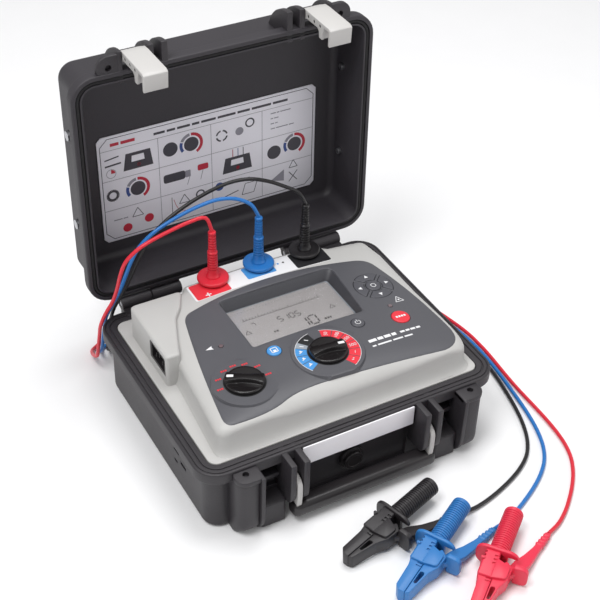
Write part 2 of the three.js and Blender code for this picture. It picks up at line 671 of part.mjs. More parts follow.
// ---------------------------------------------------------------- test leads
function plugTop(x) {
  return crownHeight(x) + SOCKET.proud + 0.4 + PLUG.discT;
}

function plug({ x }) {
  const top = plugTop(x);
  const bottom = top - PLUG.discT;
  return join(
    rodZ(bottom, top - 1.2, x, SOCKET_Y, PLUG.discR, 24),
    rodZ(top - 1.2, top, x, SOCKET_Y, PLUG.discR, 24, PLUG.discR - 1.6),
    rodZ(bottom - PLUG.pinL, bottom + 1, x, SOCKET_Y, PLUG.pinR, 8));
}

function boot({ x }) {
  const { rBase, rLow, rHigh, midH, topH } = BOOT;
  const profile = [[0, 0], [rBase, 0], [rLow, 6], [rLow, midH], [rHigh, midH + 2], [rHigh, topH], [0, topH]];
  const geometry = new THREE.LatheGeometry(profile.map(([r, z]) => new THREE.Vector2(r, z)), 12);
  return solid(geometry.rotateX(Math.PI / 2).translate(x, SOCKET_Y, plugTop(x) + FIT));
}

// Cable route: up out of the boot, over in an arch to the back left corner, down behind the
// case, along the floor behind it, round the right side and into the clip. The bundle keeps
// its order, so no cable crosses another: lane 0 is nearest the case, lane 2 outermost.
function cablePath(lead) {
  const lane = { black: 0, blue: 1, red: 2 }[lead.colour];
  const start = plugTop(lead.x) + BOOT.topH + 2 * FIT;
  const pitch = 6;
  const out = lane * pitch;
  const archRise = { black: 37, blue: 25, red: 15 }[lead.colour];
  const archY = { black: 112, blue: 104, red: 95 }[lead.colour];
  const apexX = { black: 0, blue: -30, red: -60 }[lead.colour];
  const clip = clipPoint(CLIPS[lead.colour], CLIP.armX + 1.6, CLIP.armY - 0.3);
  const beforeClip = clipPoint(CLIPS[lead.colour], CLIP.armX + 30, CLIP.armY - 7);
  const corner = { black: [-138, 124.5], blue: [-146, 121], red: [-153.5, 115] }[lead.colour];
  const points = [
    [lead.x, SOCKET_Y, start],
    [lead.x, SOCKET_Y, start + 7],
    [apexX + 12, (SOCKET_Y + archY) / 2, start + archRise],
    [apexX - 18, archY, start + archRise - 3],
    [(apexX + corner[0]) / 2 - 20, archY + 3, start - 16 + archRise / 2],
    [corner[0] + 12, corner[1] - 6, 108],
    [corner[0], corner[1], 80.5],
    [corner[0] - 1, corner[1] + 9, 55],
    [corner[0] - 2, corner[1] + 18, 22],
    [corner[0] + 6, 158 + out * 0.7, CABLE_Z],
    [-60, 176 + out, CABLE_Z],
    [60, 170 + out, CABLE_Z],
    [165 + out * 0.5, 120 + out, CABLE_Z],
    [204 + out, 20, CABLE_Z],
    [202 + out, -80, CABLE_Z],
    [(200 + out + beforeClip.x) / 2 + 22, (beforeClip.y - 90) / 2 - 22, CABLE_Z],
    [beforeClip.x, beforeClip.y, CABLE_Z],
    [clip.x, clip.y, CABLE_Z + 1.6],
  ];
  return new THREE.CatmullRomCurve3(points.map((p) => new THREE.Vector3(...p)), false, 'centripetal');
}

function cable(lead) {
  const section = new THREE.Shape();
  const sides = 6;
  for (let i = 0; i < sides; i += 1) {
    const angle = (i * 2 * Math.PI) / sides;
    section[i === 0 ? 'moveTo' : 'lineTo'](CABLE_R * Math.cos(angle), CABLE_R * Math.sin(angle));
  }
  section.closePath();
  const geometry = new THREE.ExtrudeGeometry(section, { steps: 60, extrudePath: cablePath(lead) });
  return solid(geometry);
}

// ---------------------------------------------------------------- crocodile clips
// A clip is drawn along +X from its jaw tip, with its axis at z = 0. The arm carries the cable
// and lies on the -Y side; the grip is the ribbed handle with the other jaw, and it turns
// about an upright pin.
function clipPoint({ x, y, turn }, along, across) {
  const a = THREE.MathUtils.degToRad(turn);
  return {
    x: x + along * Math.cos(a) - across * Math.sin(a),
    y: y + along * Math.sin(a) + across * Math.cos(a),
  };
}

function clipGrip() {
  const { pinX, pinY, guardX, length, splitY } = CLIP;
  const jaw = prism(roundedOutline([
    [0, splitY, 0], [60, splitY, 0], [60, 9, 2], [38, 10.5, 3], [28, 8, 3], [4, 7, 3], [0, 3, 1],
  ]), -8, 8, { arc: 1 });
  const shoulder = prism(rectangle(34, splitY, guardX + 1, 10.5), -10.5, 10.5, { bevel: 1.5 });
  const ears = join(...[[6.2, 10.2], [-10.2, -6.2]].map(([z0, z1]) => prism(roundedOutline([
    [34, splitY + 2, 0], [37, -15, 4], [51, -15, 4], [56, splitY + 2, 0],
  ]), z0, z1, { arc: 2 })));
  const pin = rodZ(-8, 8, pinX, pinY, 1.8, 10);
  const handle = rodX(guardX, length, 0.5, 0, 9.2, 14);
  const oval = [[-20, -13, 10], [20, -13, 10], [20, 13, 10], [-20, 13, 10]];
  const guard = alongX(roundedOutline(oval), guardX, guardX + 3.5);
  const armSlot = box(guardX - 2, guardX + 6, -25, -6, -9, 6.5);
  const handleRoot = rodX(guardX - 1, guardX + 6, 0.5, 0, 9.2, 14);
  return join(jaw, shoulder, handle, guard.subtract(armSlot.subtract(handleRoot)), ears, pin);
}

function clipArm() {
  const { pinX, pinY, splitY, armX, armY, armDrop, midX, midDrop } = CLIP;
  const jaw = prism(roundedOutline([
    [0, splitY - 0.5, 0], [2, -7, 2], [28, -11.5, 4], [38, -16, 3], [52, -17, 3], [58, -9.5, 2],
    [40, splitY - 0.6, 2],
  ]), -5.6, 5.6, { arc: 2 });
  const window = box(12, 25, -8.2, splitY - 2, -9, 9);
  const armShape = roundedOutline([
    [44, -15, 0], [50, -10, 0], [62, -14, 2], [midX, -20, 3], [armX, armY + 3, 1],
    [armX, armY - 3, 1], [midX, -30, 4], [56, -25, 3],
  ]);
  const arm = new THREE.ExtrudeGeometry(armShape, { depth: 6.8, steps: 1, bevelEnabled: false, curveSegments: 2 });
  arm.translate(0, 0, -3.4);
  const place = arm.attributes.position;
  for (let i = 0; i < place.count; i += 1) {
    const x = place.getX(i);
    const near = THREE.MathUtils.clamp((x - 50) / (midX - 50), 0, 1);
    const far = THREE.MathUtils.clamp((x - midX) / (armX - midX), 0, 1);
    const drop = midDrop * near + (armDrop - midDrop) * far;
    place.setZ(i, place.getZ(i) * (1 - 0.2 * far) - drop);
  }
  const lobe = alongX(roundedOutline([[-31, -11, 7], [-17.4, -11, 2], [-17.4, 11, 2], [-31, 11, 7]]), 50, 55);
  return cut(join(jaw, solid(arm), lobe), window, rodZ(-20, 20, pinX, pinY, 2.2, 10));
}

function placedClip({ x, y, turn }) {
  const made = new THREE.Group();
  made.position.set(x, y, CLIP.tipZ);
  made.rotation.set(0, -THREE.MathUtils.degToRad(CLIP.tilt), THREE.MathUtils.degToRad(turn), 'ZYX');
  return made;
}

// ---------------------------------------------------------------- assembly
const group = new THREE.Group();

group.add(
  piece('case_base', caseBase(), PAINT.caseBlack),
  piece('front_plate', frontPlate(), PAINT.label),
  piece('relief_valve', reliefValve(), PAINT.rubber),
  piece('handle_frame', handleFrame(), PAINT.latchWhite),
  piece('handle_grip', handleGrip(), PAINT.gripBlack),
  piece('top_panel', topPanel(), PAINT.warmGrey),
  piece('facia', facia(), PAINT.facia),
  piece('display_window', displayWindow(), PAINT.glass),
  piece('display_module', displayModule(), PAINT.label),
  piece('voltage_knob', knob(VOLTAGE_KNOB), PAINT.knob),
  piece('mode_knob', knob(MODE_KNOB), PAINT.knob),
  piece('voltage_switch', rotarySwitch(VOLTAGE_KNOB), PAINT.cell),
  piece('mode_switch', rotarySwitch(MODE_KNOB), PAINT.cell),
  piece('mains_inlet', mainsInlet(), PAINT.rubber),
  piece('main_board', mainBoard(), PAINT.board),
  piece('high_voltage_module', highVoltageModule(), PAINT.cell),
  piece('battery_pack', batteryPack(), PAINT.cell),
);

const KEY_PAINT = {
  save_button: [0x3b7fc4, 0.5, 0],
  power_button: PAINT.facia,
  test_button: [0xdd2e3c, 0.5, 0],
  ok_button: PAINT.facia,
};
for (const [name, place] of Object.entries(KEYS)) group.add(piece(name, key(place), KEY_PAINT[name]));
for (const [name, place] of Object.entries(LEDS)) group.add(piece(name, led(place), PAINT.glass));
['nav_right', 'nav_up', 'nav_left', 'nav_down'].forEach((name, i) => {
  const sector = navSector(i, 0, KEY_BOTTOM_Z, 125).intersect(underCrown(KEY_PROUD + 0.2));
  group.add(piece(name, sector, PAINT.facia));
});

for (const [side, word] of [[-1, 'left'], [1, 'right']]) {
  group.add(piece(`handle_pin_${word}`, handlePin(side), PAINT.steel));
  group.add(piece(`hinge_pin_${word}`, rodX(...span(side, 60.6, 125.6), HINGE.y, HINGE.z, HINGE.pinR), PAINT.steel));
}

// The lid and all that it carries, drawn shut and swung open about the hinge.
const lid = new THREE.Group();
lid.position.set(0, HINGE.y, HINGE.z);
lid.rotation.x = -THREE.MathUtils.degToRad(LID_OPEN);
const shut = new THREE.Group();
shut.position.set(0, -HINGE.y, -HINGE.z);
lid.add(shut);
group.add(lid);

shut.add(
  piece('case_lid', caseLid(), PAINT.caseBlack),
  piece('lid_seal', lidSeal(), PAINT.rubber),
  piece('lid_label', lidLabel(), PAINT.label),
);
[[-1, 50], [-1, -50], [1, 50], [1, -50]].forEach(([side, y], i) => {
  shut.add(piece(`lid_stud_${i + 1}`, lidStud(side, y), PAINT.steel));
});
for (const [side, word] of [[-1, 'left'], [1, 'right']]) {
  shut.add(piece(`latch_${word}`, latch(side), PAINT.latchWhite));
  shut.add(piece(`latch_pin_${word}`,
    rodX(...span(side, 75.2, 109.2), LATCH.pivotY, LATCH.pivotZ, LATCH.pinR), PAINT.steel));
}

for (const lead of LEADS) {
  const { colour } = lead;
  const paint = [lead.paint, 0.5, 0];
  group.add(piece(lead.socket, terminal(lead), PAINT.brass));
  group.add(piece(`plug_${colour}`, plug(lead), paint));
  group.add(piece(`boot_${colour}`, boot(lead), paint));
  group.add(piece(`cable_${colour}`, cable(lead), paint));
  const clip = placedClip(CLIPS[colour]);
  clip.add(piece(`clip_arm_${colour}`, clipArm(), paint));
  clip.add(piece(`clip_grip_${colour}`, clipGrip(), paint));
  group.add(clip);
}

export default group;
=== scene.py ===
"""Insulation resistance tester: the looks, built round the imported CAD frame.

Shapes are drawn in millimetres, X to the right, Y to the back and Z up, and turned into metres
when a piece is made. Parts of the lid are drawn shut and swung open with the lid.
"""
import math

import bpy
import bmesh
from mathutils import Matrix, Vector
from mathutils.geometry import delaunay_2d_cdt


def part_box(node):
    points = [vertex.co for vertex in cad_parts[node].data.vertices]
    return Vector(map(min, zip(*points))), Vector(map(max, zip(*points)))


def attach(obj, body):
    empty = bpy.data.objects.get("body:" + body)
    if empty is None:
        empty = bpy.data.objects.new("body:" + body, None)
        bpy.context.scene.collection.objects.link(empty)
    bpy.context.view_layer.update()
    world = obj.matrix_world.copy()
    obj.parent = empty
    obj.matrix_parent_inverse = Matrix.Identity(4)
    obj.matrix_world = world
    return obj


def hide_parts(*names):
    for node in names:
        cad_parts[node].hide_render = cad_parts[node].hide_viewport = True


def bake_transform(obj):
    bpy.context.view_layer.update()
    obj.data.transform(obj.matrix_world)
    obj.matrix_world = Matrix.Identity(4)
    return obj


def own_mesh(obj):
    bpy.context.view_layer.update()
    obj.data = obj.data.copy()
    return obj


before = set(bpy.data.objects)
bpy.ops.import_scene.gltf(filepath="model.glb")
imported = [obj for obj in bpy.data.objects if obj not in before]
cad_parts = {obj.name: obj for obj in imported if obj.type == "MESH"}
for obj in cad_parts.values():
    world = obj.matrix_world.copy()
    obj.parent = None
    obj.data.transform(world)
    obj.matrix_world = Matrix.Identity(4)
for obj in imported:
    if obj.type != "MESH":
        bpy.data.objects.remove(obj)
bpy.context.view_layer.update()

MM = 0.001
COLOURS = ("red", "blue", "black")
SIDES = ((-1, "left"), (1, "right"))

# ---------------------------------------------------------------- driving sizes, in mm
# The case: its rim, the heights of the parting line, the lid's top, and the hinge.
CASE_W, CASE_D, CORNER_R = 315, 249, 24
RIM_Z = 75.5
FLANGE_Z = 63.5
LID_RIM_Z = 75.9
LID_TOP_Z = 133
LID_ROOF_Z = 129.2
HINGE_Y, HINGE_Z = 134, 78
LID_OPEN = 91
SHUT_TO_OPEN = (
    Matrix.Translation((0, HINGE_Y, HINGE_Z))
    @ Matrix.Rotation(math.radians(-LID_OPEN), 4, "X")
    @ Matrix.Translation((0, -HINGE_Y, -HINGE_Z))
)

# The case front. X spans are measured from the middle. Ribs and guards grow out of the plane
# WALL_Y, and stop RIB_GAP short of the parting line.
WALL_Y = -112
RIB_GAP = 0.7
RIBS = ((74.7, 80.5), (61.2, 67.3))
GUARD_X = (105.5, 109.5)
BAY_X = (80, 106)
NICHE_X = 59.9
LUG_X, LUG_Y, LUG_R, LUG_HOLE_R = 119.1, -129.6, 11.5, 3.1
LATCH_X = (81.2, 104.8)
LATCH_PIVOT = (-132, 88)
LATCH_HOLE_Y, LATCH_HOLES_Z, LATCH_HOLE_R = -137.2, (50, 61, 72), 1.6
HANDLE_PIVOT = (-133.5, 43.5)
SIDE_NOTCH_X = (147.6, 152)
SIDE_NOTCHES = ((-53, -42, 41, 46), (-49, -42.5, 27, 30), (-68, -56, 33.5, 37.5))

# The printed card in the lid: its edges, the face the ink sits on, and its grid of boxes.
LABEL = {"x0": -119, "x1": 123.5, "y0": -28.6, "y1": 94}
LABEL_W, LABEL_H = LABEL["x1"] - LABEL["x0"], LABEL["y1"] - LABEL["y0"]
LABEL_FACE = LID_ROOF_Z - 1.1
LABEL_CORNER = 4.5
LABEL_MARGIN, LABEL_CHAMFER, LABEL_HEADER = 3, 8, 16
LABEL_COLUMNS = (64, 122, 180)

# The light panel. Its top bends down to both sides, and toward the front from ROLL_Y on. The
# wall below its rounded edge flares out: (outward, part of the height that is left).
CROWN_Z, CROWN_DROP, SIDE_X = 110, 7, 130
ROLL_Y, ROLL_DROP, ROLL_LENGTH = -62, 9, 42
PANEL_EDGE_R = 8.5
WALL_FLARE = ((0.2, 0.75), (0.6, 0.5), (1.2, 0.3), (2.0, 0.15), (2.9, 0.05), (3.6, 0.0))
INLET_BLOCK = {"x0": -134, "y0": 2, "y1": 88, "z1": 111.5, "edge_r": 2.6}
INLET = {"y0": 6, "y1": 41, "z0": 84, "z1": 106, "depth": 9.4}

# The facia: how far it stands proud of the panel, its knobs, keys, lamps and window.
FACIA_PROUD = 0.4
FACIA_EDGE_R = 1.1
VOLTAGE = {"x": 4, "y": -57, "r": 18.2, "pad_r": 35, "pad_z": 110.7, "pointer": -5.5}
MODE = {"x": -83, "y": -57, "r": 18.6, "pad_r": 31, "pad_z": 108.6, "pointer": 150}
KNOB_H = 7
SCALE_IN, SCALE_OUT, SCALE_TEXT_R = 19.9, 30.8, 25.4
RED_START, RED_STEP = 77, 23.5
BLUE_START, BLUE_STEP = 146, 22.4
SCALE_GAP = 0.7
NAV = {"x": 95.8, "y": 12.7, "r_out": 20, "r_in": 9.6, "gap": 1.8}
KEYS = {
    "save_button": {"x": -39.7, "y": -32.2, "r": 7},
    "power_button": {"x": 51, "y": -32.5, "r": 6.6},
    "test_button": {"x": 94.3, "y": -41, "r": 9.2},
    "ok_button": {"x": NAV["x"], "y": NAV["y"], "r": 7.6},
}
LEDS = ((-79.9, -1.8, 2.2), (94.2, -22, 2.2))
WINDOW = {"x0": -53, "x1": 64, "y0": -17, "y1": 50, "z": 100.3}

# Seven-segment digits: the two ends of each segment in a unit box, and the segments of a digit.
SEGMENTS = {
    "a": ((0.12, 1), (0.88, 1)), "b": ((1, 0.92), (1, 0.56)), "c": ((1, 0.44), (1, 0.08)),
    "d": ((0.12, 0), (0.88, 0)), "e": ((0, 0.44), (0, 0.08)), "f": ((0, 0.92), (0, 0.56)),
    "g": ((0.12, 0.5), (0.88, 0.5)),
}
DIGITS = {"0": "abcdef", "1": "bc", "5": "afgcd"}

# The test leads. A clip is placed by the point under its tip and its turn in degrees.
SOCKET_Y = 90.5
SOCKET_X = {"red": -43.3, "blue": 7.5, "black": 60}
DISC_R, DISC_T = 15.9, 4.5
BOOT_H = 54
CABLE_R, CABLE_SIDES = 1.9, 14
CABLE_JOIN_Z = 82
CLIPS = {"black": (-60, -207.5, 16.4), "blue": (-38, -264.5, 29), "red": (8.5, -310.5, 38)}
CLIP_TIP_Z, CLIP_TILT = 8.3, 4.3


# ---------------------------------------------------------------- outlines
def arc(cx, cy, r, start, end, steps):
    """Points on an arc, from one angle to another in degrees."""
    turn = [math.radians(start + (end - start) * i / steps) for i in range(steps + 1)]
    return [(cx + r * math.cos(a), cy + r * math.sin(a)) for a in turn]


def circle(x, y, r, steps=48):
    """The points of a circle, anticlockwise."""
    return arc(x, y, r, 0, 360, steps)[:-1]


def rounded(corners, steps=5):
    """A closed outline whose corners, each [x, y, radius], are rounded."""
    points = []
    for i, (x, y, r) in enumerate(corners):
        here = Vector((x, y))
        before = (Vector(corners[i - 1][:2]) - here).normalized()
        after = (Vector(corners[(i + 1) % len(corners)][:2]) - here).normalized()
        if r <= 0:
            points.append((x, y))
            continue
        half = math.acos(max(-1, min(1, before.dot(after)))) / 2
        back = r / math.tan(half)
        a, b = here + before * back, here + after * back
        for k in range(steps + 1):
            t = k / steps
            p = a * (1 - t) ** 2 + here * 2 * t * (1 - t) + b * t ** 2
            points.append((p.x, p.y))
    return points


def rectangle(x0, y0, x1, y1, r=0, steps=5):
    """A closed rectangle with corners of radius r."""
    return rounded([(x0, y0, r), (x1, y0, r), (x1, y1, r), (x0, y1, r)], steps)


def rim_ring(inset, z, steps=8):
    """A rounded rectangle that follows the case rim at an inset, with a fixed count of points."""
    w, d = CASE_W / 2 - inset, CASE_D / 2 - inset
    r = max(CORNER_R - inset, 4)
    corners = [(w - r, -d + r, -90), (w - r, d - r, 0), (-w + r, d - r, 90), (-w + r, -d + r, 180)]
    ring = []
    for cx, cy, start in corners:
        ring += [(x, y, z) for x, y in arc(cx, cy, r, start, start + 90, steps)]
    return ring


def quadratic(a, b, c, steps=8):
    """Points on a curve from a toward c, bent by b, without the last one."""
    return [tuple(a[i] * (1 - t) ** 2 + b[i] * 2 * t * (1 - t) + c[i] * t ** 2 for i in (0, 1))
            for t in (k / steps for k in range(steps))]


def span(side, near, far):
    """An X span measured from the middle, on the side given by its sign."""
    return (near, far) if side > 0 else (-far, -near)


def split_long_edges(outline, spacing):
    """A closed outline with extra points, none further apart than spacing."""
    points = []
    for i, p in enumerate(outline):
        q = outline[(i + 1) % len(outline)]
        count = max(1, math.ceil(math.dist(p, q) / spacing))
        points += [(p[0] + (q[0] - p[0]) * k / count, p[1] + (q[1] - p[1]) * k / count) for k in range(count)]
    return points


def inset_outline(outline, distance):
    """Each point moved inward along its normal. The outline runs anticlockwise."""
    moved = []
    for i, p in enumerate(outline):
        a, b = Vector(outline[i - 1]), Vector(outline[(i + 1) % len(outline)])
        along = (b - a).normalized()
        moved.append((p[0] - along.y * distance, p[1] + along.x * distance))
    return moved


def anticlockwise(outline):
    """The outline itself or reversed, so that it runs anticlockwise."""
    area = sum(p[0] * q[1] - q[0] * p[1] for p, q in zip(outline, outline[1:] + outline[:1]))
    return outline if area > 0 else outline[::-1]


# ---------------------------------------------------------------- solids, as bmesh in mm
def mesh_of(verts, faces):
    """A bmesh from points and faces, with its normals turned outward."""
    made = bmesh.new()
    rows = [made.verts.new(v) for v in verts]
    for face in faces:
        made.faces.new([rows[i] for i in face])
    bmesh.ops.recalc_face_normals(made, faces=made.faces)
    return made


def loft(rings, close=False):
    """Rings of equal length joined in order. close joins the last to the first."""
    n = len(rings[0])
    verts = [v for ring in rings for v in ring]
    faces = []
    for k in range(len(rings) if close else len(rings) - 1):
        a, b = k * n, ((k + 1) % len(rings)) * n
        faces += [(a + i, a + (i + 1) % n, b + (i + 1) % n, b + i) for i in range(n)]
    if not close:
        faces += [tuple(range(n)), tuple(range((len(rings) - 1) * n, len(rings) * n))]
    return mesh_of(verts, faces)


def soften(made, width, segments=2, angle=30):
    """Round every edge sharper than the angle."""
    if width <= 0:
        return made
    limit = math.radians(angle)
    sharp = [e for e in made.edges if len(e.link_faces) == 2 and e.calc_face_angle(0) > limit]
    bmesh.ops.bevel(made, geom=sharp, offset=width, offset_type="OFFSET", segments=segments,
                    profile=0.5, affect="EDGES", clamp_overlap=True)
    return made


def prism(outline, z0, z1, bevel=0.0, segments=2):
    """An (x, y) outline extruded along Z."""
    made = loft([[(x, y, z) for x, y in outline] for z in (z0, z1)])
    return soften(made, bevel, segments)


def block(x0, x1, y0, y1, z0, z1, bevel=0.0, segments=2):
    """A box between two X, two Y and two Z planes."""
    return prism(rectangle(x0, y0, x1, y1), z0, z1, bevel, segments)


def turned(made, matrix):
    """Move a solid by a matrix. A mirrored one keeps its faces outward."""
    bmesh.ops.transform(made, matrix=matrix, verts=made.verts)
    if matrix.determinant() < 0:
        bmesh.ops.reverse_faces(made, faces=made.faces)
    return made


def along_x(outline, x0, x1, bevel=0.0, segments=2):
    """A (y, z) outline extruded along X."""
    made = prism(anticlockwise(outline), x0, x1, bevel, segments)
    return turned(made, Matrix(((0, 0, 1, 0), (1, 0, 0, 0), (0, 1, 0, 0), (0, 0, 0, 1))))


def along_y(outline, y0, y1, bevel=0.0, segments=2):
    """An (x, z) outline extruded along Y."""
    made = prism(anticlockwise(outline), -y1, -y0, bevel, segments)
    return turned(made, Matrix(((1, 0, 0, 0), (0, 0, -1, 0), (0, 1, 0, 0), (0, 0, 0, 1))))


def lathe(profile, steps=40, centre=(0, 0, 0)):
    """A (radius, height) profile turned about Z. It starts and ends on the axis."""
    cx, cy, cz = centre
    turns = [2 * math.pi * i / steps for i in range(steps)]
    made = loft([[(cx + r * math.cos(a), cy + r * math.sin(a), cz + z) for a in turns] for r, z in profile])
    bmesh.ops.remove_doubles(made, verts=made.verts, dist=1e-4)
    return made


def rod(start, end, r, steps=24, bevel=0.0):
    """A round bar between two points."""
    a, b = Vector(start), Vector(end)
    length = (b - a).length
    edge = min(bevel, r * 0.9)
    profile = [(0, 0), (r - edge, 0), (r, edge), (r, length - edge), (r - edge, length), (0, length)]
    made = lathe(profile, steps)
    turn = (b - a).to_track_quat("Z", "Y").to_matrix().to_4x4()
    return turned(made, Matrix.Translation(a) @ turn)


def tube(points, radius, steps):
    """A round tube through points."""
    path = [Vector(p) for p in points]
    side = Vector((1, 0, 0))
    rings = []
    for i, p in enumerate(path):
        ahead = (path[min(i + 1, len(path) - 1)] - path[max(i - 1, 0)]).normalized()
        side = (side - ahead * side.dot(ahead)).normalized()
        up = ahead.cross(side)
        rings.append([p + (side * math.cos(a) + up * math.sin(a)) * radius
                      for a in (2 * math.pi * k / steps for k in range(steps))])
    return loft(rings)


def smooth_path(points, between=4):
    """Centripetal Catmull-Rom points through a path."""
    def blend(a, b, start, end, t):
        return a * ((end - t) / (end - start)) + b * ((t - start) / (end - start))

    path = [Vector(p) for p in points]
    path = [path[0] * 2 - path[1]] + path + [path[-1] * 2 - path[-2]]
    smooth = []
    for i in range(1, len(path) - 2):
        p0, p1, p2, p3 = path[i - 1:i + 3]
        t0 = 0.0
        t1 = t0 + max((p1 - p0).length, 1e-6) ** 0.5
        t2 = t1 + max((p2 - p1).length, 1e-6) ** 0.5
        t3 = t2 + max((p3 - p2).length, 1e-6) ** 0.5
        for k in range(between):
            t = t1 + (t2 - t1) * k / between
            middle = blend(p1, p2, t1, t2, t)
            first = blend(blend(p0, p1, t0, t1, t), middle, t0, t2, t)
            last = blend(middle, blend(p2, p3, t2, t3, t), t1, t3, t)
            smooth.append(blend(first, last, t1, t2, t))
    smooth.append(path[-2])
    return smooth


def sheet(outline, height, thickness, holes=(), guides=(), spacing=5.0, skirt=None):
    """A surface z = height(x, y) over an outline, closed below by its own copy lower down.
    Guides are closed lines that the mesh's edges follow. skirt(x, y, outward_x, outward_y)
    gives the points a wall passes through on its way down from the outline."""
    loops = [anticlockwise(split_long_edges(outline, spacing))]
    loops += [anticlockwise(split_long_edges(h, spacing)) for h in holes]
    loops += [anticlockwise(split_long_edges(g, spacing)) for g in guides]
    points, edges = [], []
    for loop in loops:
        first = len(points)
        points += [Vector(p) for p in loop]
        edges += [(first + i, first + (i + 1) % len(loop)) for i in range(len(loop))]
    xs, ys = [p.x for p in points], [p.y for p in points]
    nx, ny = int((max(xs) - min(xs)) / spacing), int((max(ys) - min(ys)) / spacing)
    for i in range(1, nx):
        for k in range(1, ny):
            p = (min(xs) + i * spacing, min(ys) + (k + 0.5 * (i % 2)) * spacing)
            if inside(p, loops[0]) and not any(inside(p, loop) for loop in loops[1:1 + len(holes)]):
                points.append(Vector(p))
    flat, _, faces, sources, *_ = delaunay_2d_cdt(points, edges, [], 0, 1e-4)
    made = bmesh.new()
    top = [made.verts.new((p.x, p.y, height(p.x, p.y))) for p in flat]
    for face in faces:
        middle = sum((flat[i] for i in face), Vector((0, 0))) / len(face)
        if not inside(middle, loops[0]) or any(inside(middle, loop) for loop in loops[1:1 + len(holes)]):
            continue
        made.faces.new([top[i] for i in face])
    if skirt:
        hang_skirt(made, top, sources, loops[0], skirt)
    bmesh.ops.delete(made, geom=[v for v in made.verts if not v.link_faces], context="VERTS")
    bmesh.ops.recalc_face_normals(made, faces=made.faces)
    if sum(f.normal.z for f in made.faces) < 0:
        bmesh.ops.reverse_faces(made, faces=made.faces)
    shell = bmesh.ops.extrude_face_region(made, geom=made.faces[:])
    lowered = [g for g in shell["geom"] if isinstance(g, bmesh.types.BMVert)]
    for v in lowered:
        v.co.z += thickness
    for v in made.verts:
        v.co.z -= thickness
    return made


def hang_skirt(made, top, sources, loop, skirt):
    """Add the wall below a sheet's outer edge."""
    at_source = {i: top[k] for k, origin in enumerate(sources) for i in origin}
    columns = []
    for i, p in enumerate(loop):
        along = (Vector(loop[(i + 1) % len(loop)]) - Vector(loop[i - 1])).normalized()
        wall = [made.verts.new(co) for co in skirt(p[0], p[1], along.y, -along.x)]
        columns.append([at_source[i]] + wall)
    for a, b in zip(columns, columns[1:] + columns[:1]):
        for k in range(len(a) - 1):
            made.faces.new((a[k], a[k + 1], b[k + 1], b[k]))


def inside(p, outline):
    """Whether a point is inside a closed outline."""
    x, y = p
    odd = False
    for (x0, y0), (x1, y1) in zip(outline, outline[1:] + outline[:1]):
        if (y0 > y) != (y1 > y) and x < (x1 - x0) * (y - y0) / (y1 - y0) + x0:
            odd = not odd
    return odd


def merged(*parts):
    """Several solids in one mesh, not joined."""
    made = bmesh.new()
    for part in parts:
        holder = bpy.data.meshes.new("holder")
        part.to_mesh(holder)
        made.from_mesh(holder)
        part.free()
        bpy.data.meshes.remove(holder)
    return made


def boolean(target, tool, operation="DIFFERENCE"):
    """Cut or join two bmesh solids."""
    objects = []
    for name, part in (("target", target), ("tool", tool)):
        mesh = bpy.data.meshes.new(name)
        part.to_mesh(mesh)
        part.free()
        objects.append(bpy.data.objects.new(name, mesh))
        bpy.context.scene.collection.objects.link(objects[-1])
    modifier = objects[0].modifiers.new("boolean", "BOOLEAN")
    modifier.object, modifier.operation, modifier.solver = objects[1], operation, "EXACT"
    modifier.use_self = True
    made = bmesh.new()
    made.from_object(objects[0], bpy.context.evaluated_depsgraph_get())
    for o in objects:
        mesh = o.data
        bpy.data.objects.remove(o)
        bpy.data.meshes.remove(mesh)
    return made


def cut(made, *tools):
    """Take each tool away from a solid."""
    for tool in tools:
        made = boolean(made, tool)
    return made


def joined(made, *others):
    """Fuse a solid with others."""
    for other in others:
        made = boolean(made, other, "UNION")
    return made


def turn_about(axis, degrees):
    """A rotation about X, Y or Z."""
    return Matrix.Rotation(math.radians(degrees), 4, axis)


def piece(name, made, paint, body, stands_for=(), shut=False, flat_angle=32):
    """Turn a bmesh in mm into a finished piece in metres that rides on a body."""
    if shut:
        turned(made, SHUT_TO_OPEN)
    turned(made, Matrix.Scale(MM, 4))
    bmesh.ops.dissolve_degenerate(made, dist=1e-8, edges=made.edges)
    mesh = bpy.data.meshes.new(name)
    made.to_mesh(mesh)
    made.free()
    mesh.shade_smooth()
    mesh.set_sharp_from_angle(angle=math.radians(flat_angle))
    mesh.materials.append(PAINT[paint])
    made_object = bpy.data.objects.new(name, mesh)
    bpy.context.scene.collection.objects.link(made_object)
    if body:
        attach(made_object, body)
    if stands_for:
        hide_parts(*stands_for)
    return made_object


def printed(name, parts, paint, body="case"):
    """Printed marks, as one thin piece."""
    piece(name, merged(*parts), paint, body)


# ---------------------------------------------------------------- materials
def srgb(red, green, blue):
    """A 0-255 screen colour as linear light."""
    def linear(v):
        v = v / 255
        return v / 12.92 if v <= 0.04045 else ((v + 0.055) / 1.055) ** 2.4
    return (linear(red), linear(green), linear(blue), 1)


def set_inputs(tree, node, inputs):
    """Give each input of a shader node its value, or the output socket that feeds it."""
    for key, value in inputs.items():
        if isinstance(value, bpy.types.NodeSocket):
            tree.links.new(value, node.inputs[key])
        else:
            node.inputs[key].default_value = value


def add_node(tree, kind, inputs, output, **settings):
    """Add a shader node and return one of its outputs."""
    node = tree.nodes.new(f"ShaderNode{kind}")
    for key, value in settings.items():
        setattr(node, key, value)
    set_inputs(tree, node, inputs)
    return node.outputs[output]


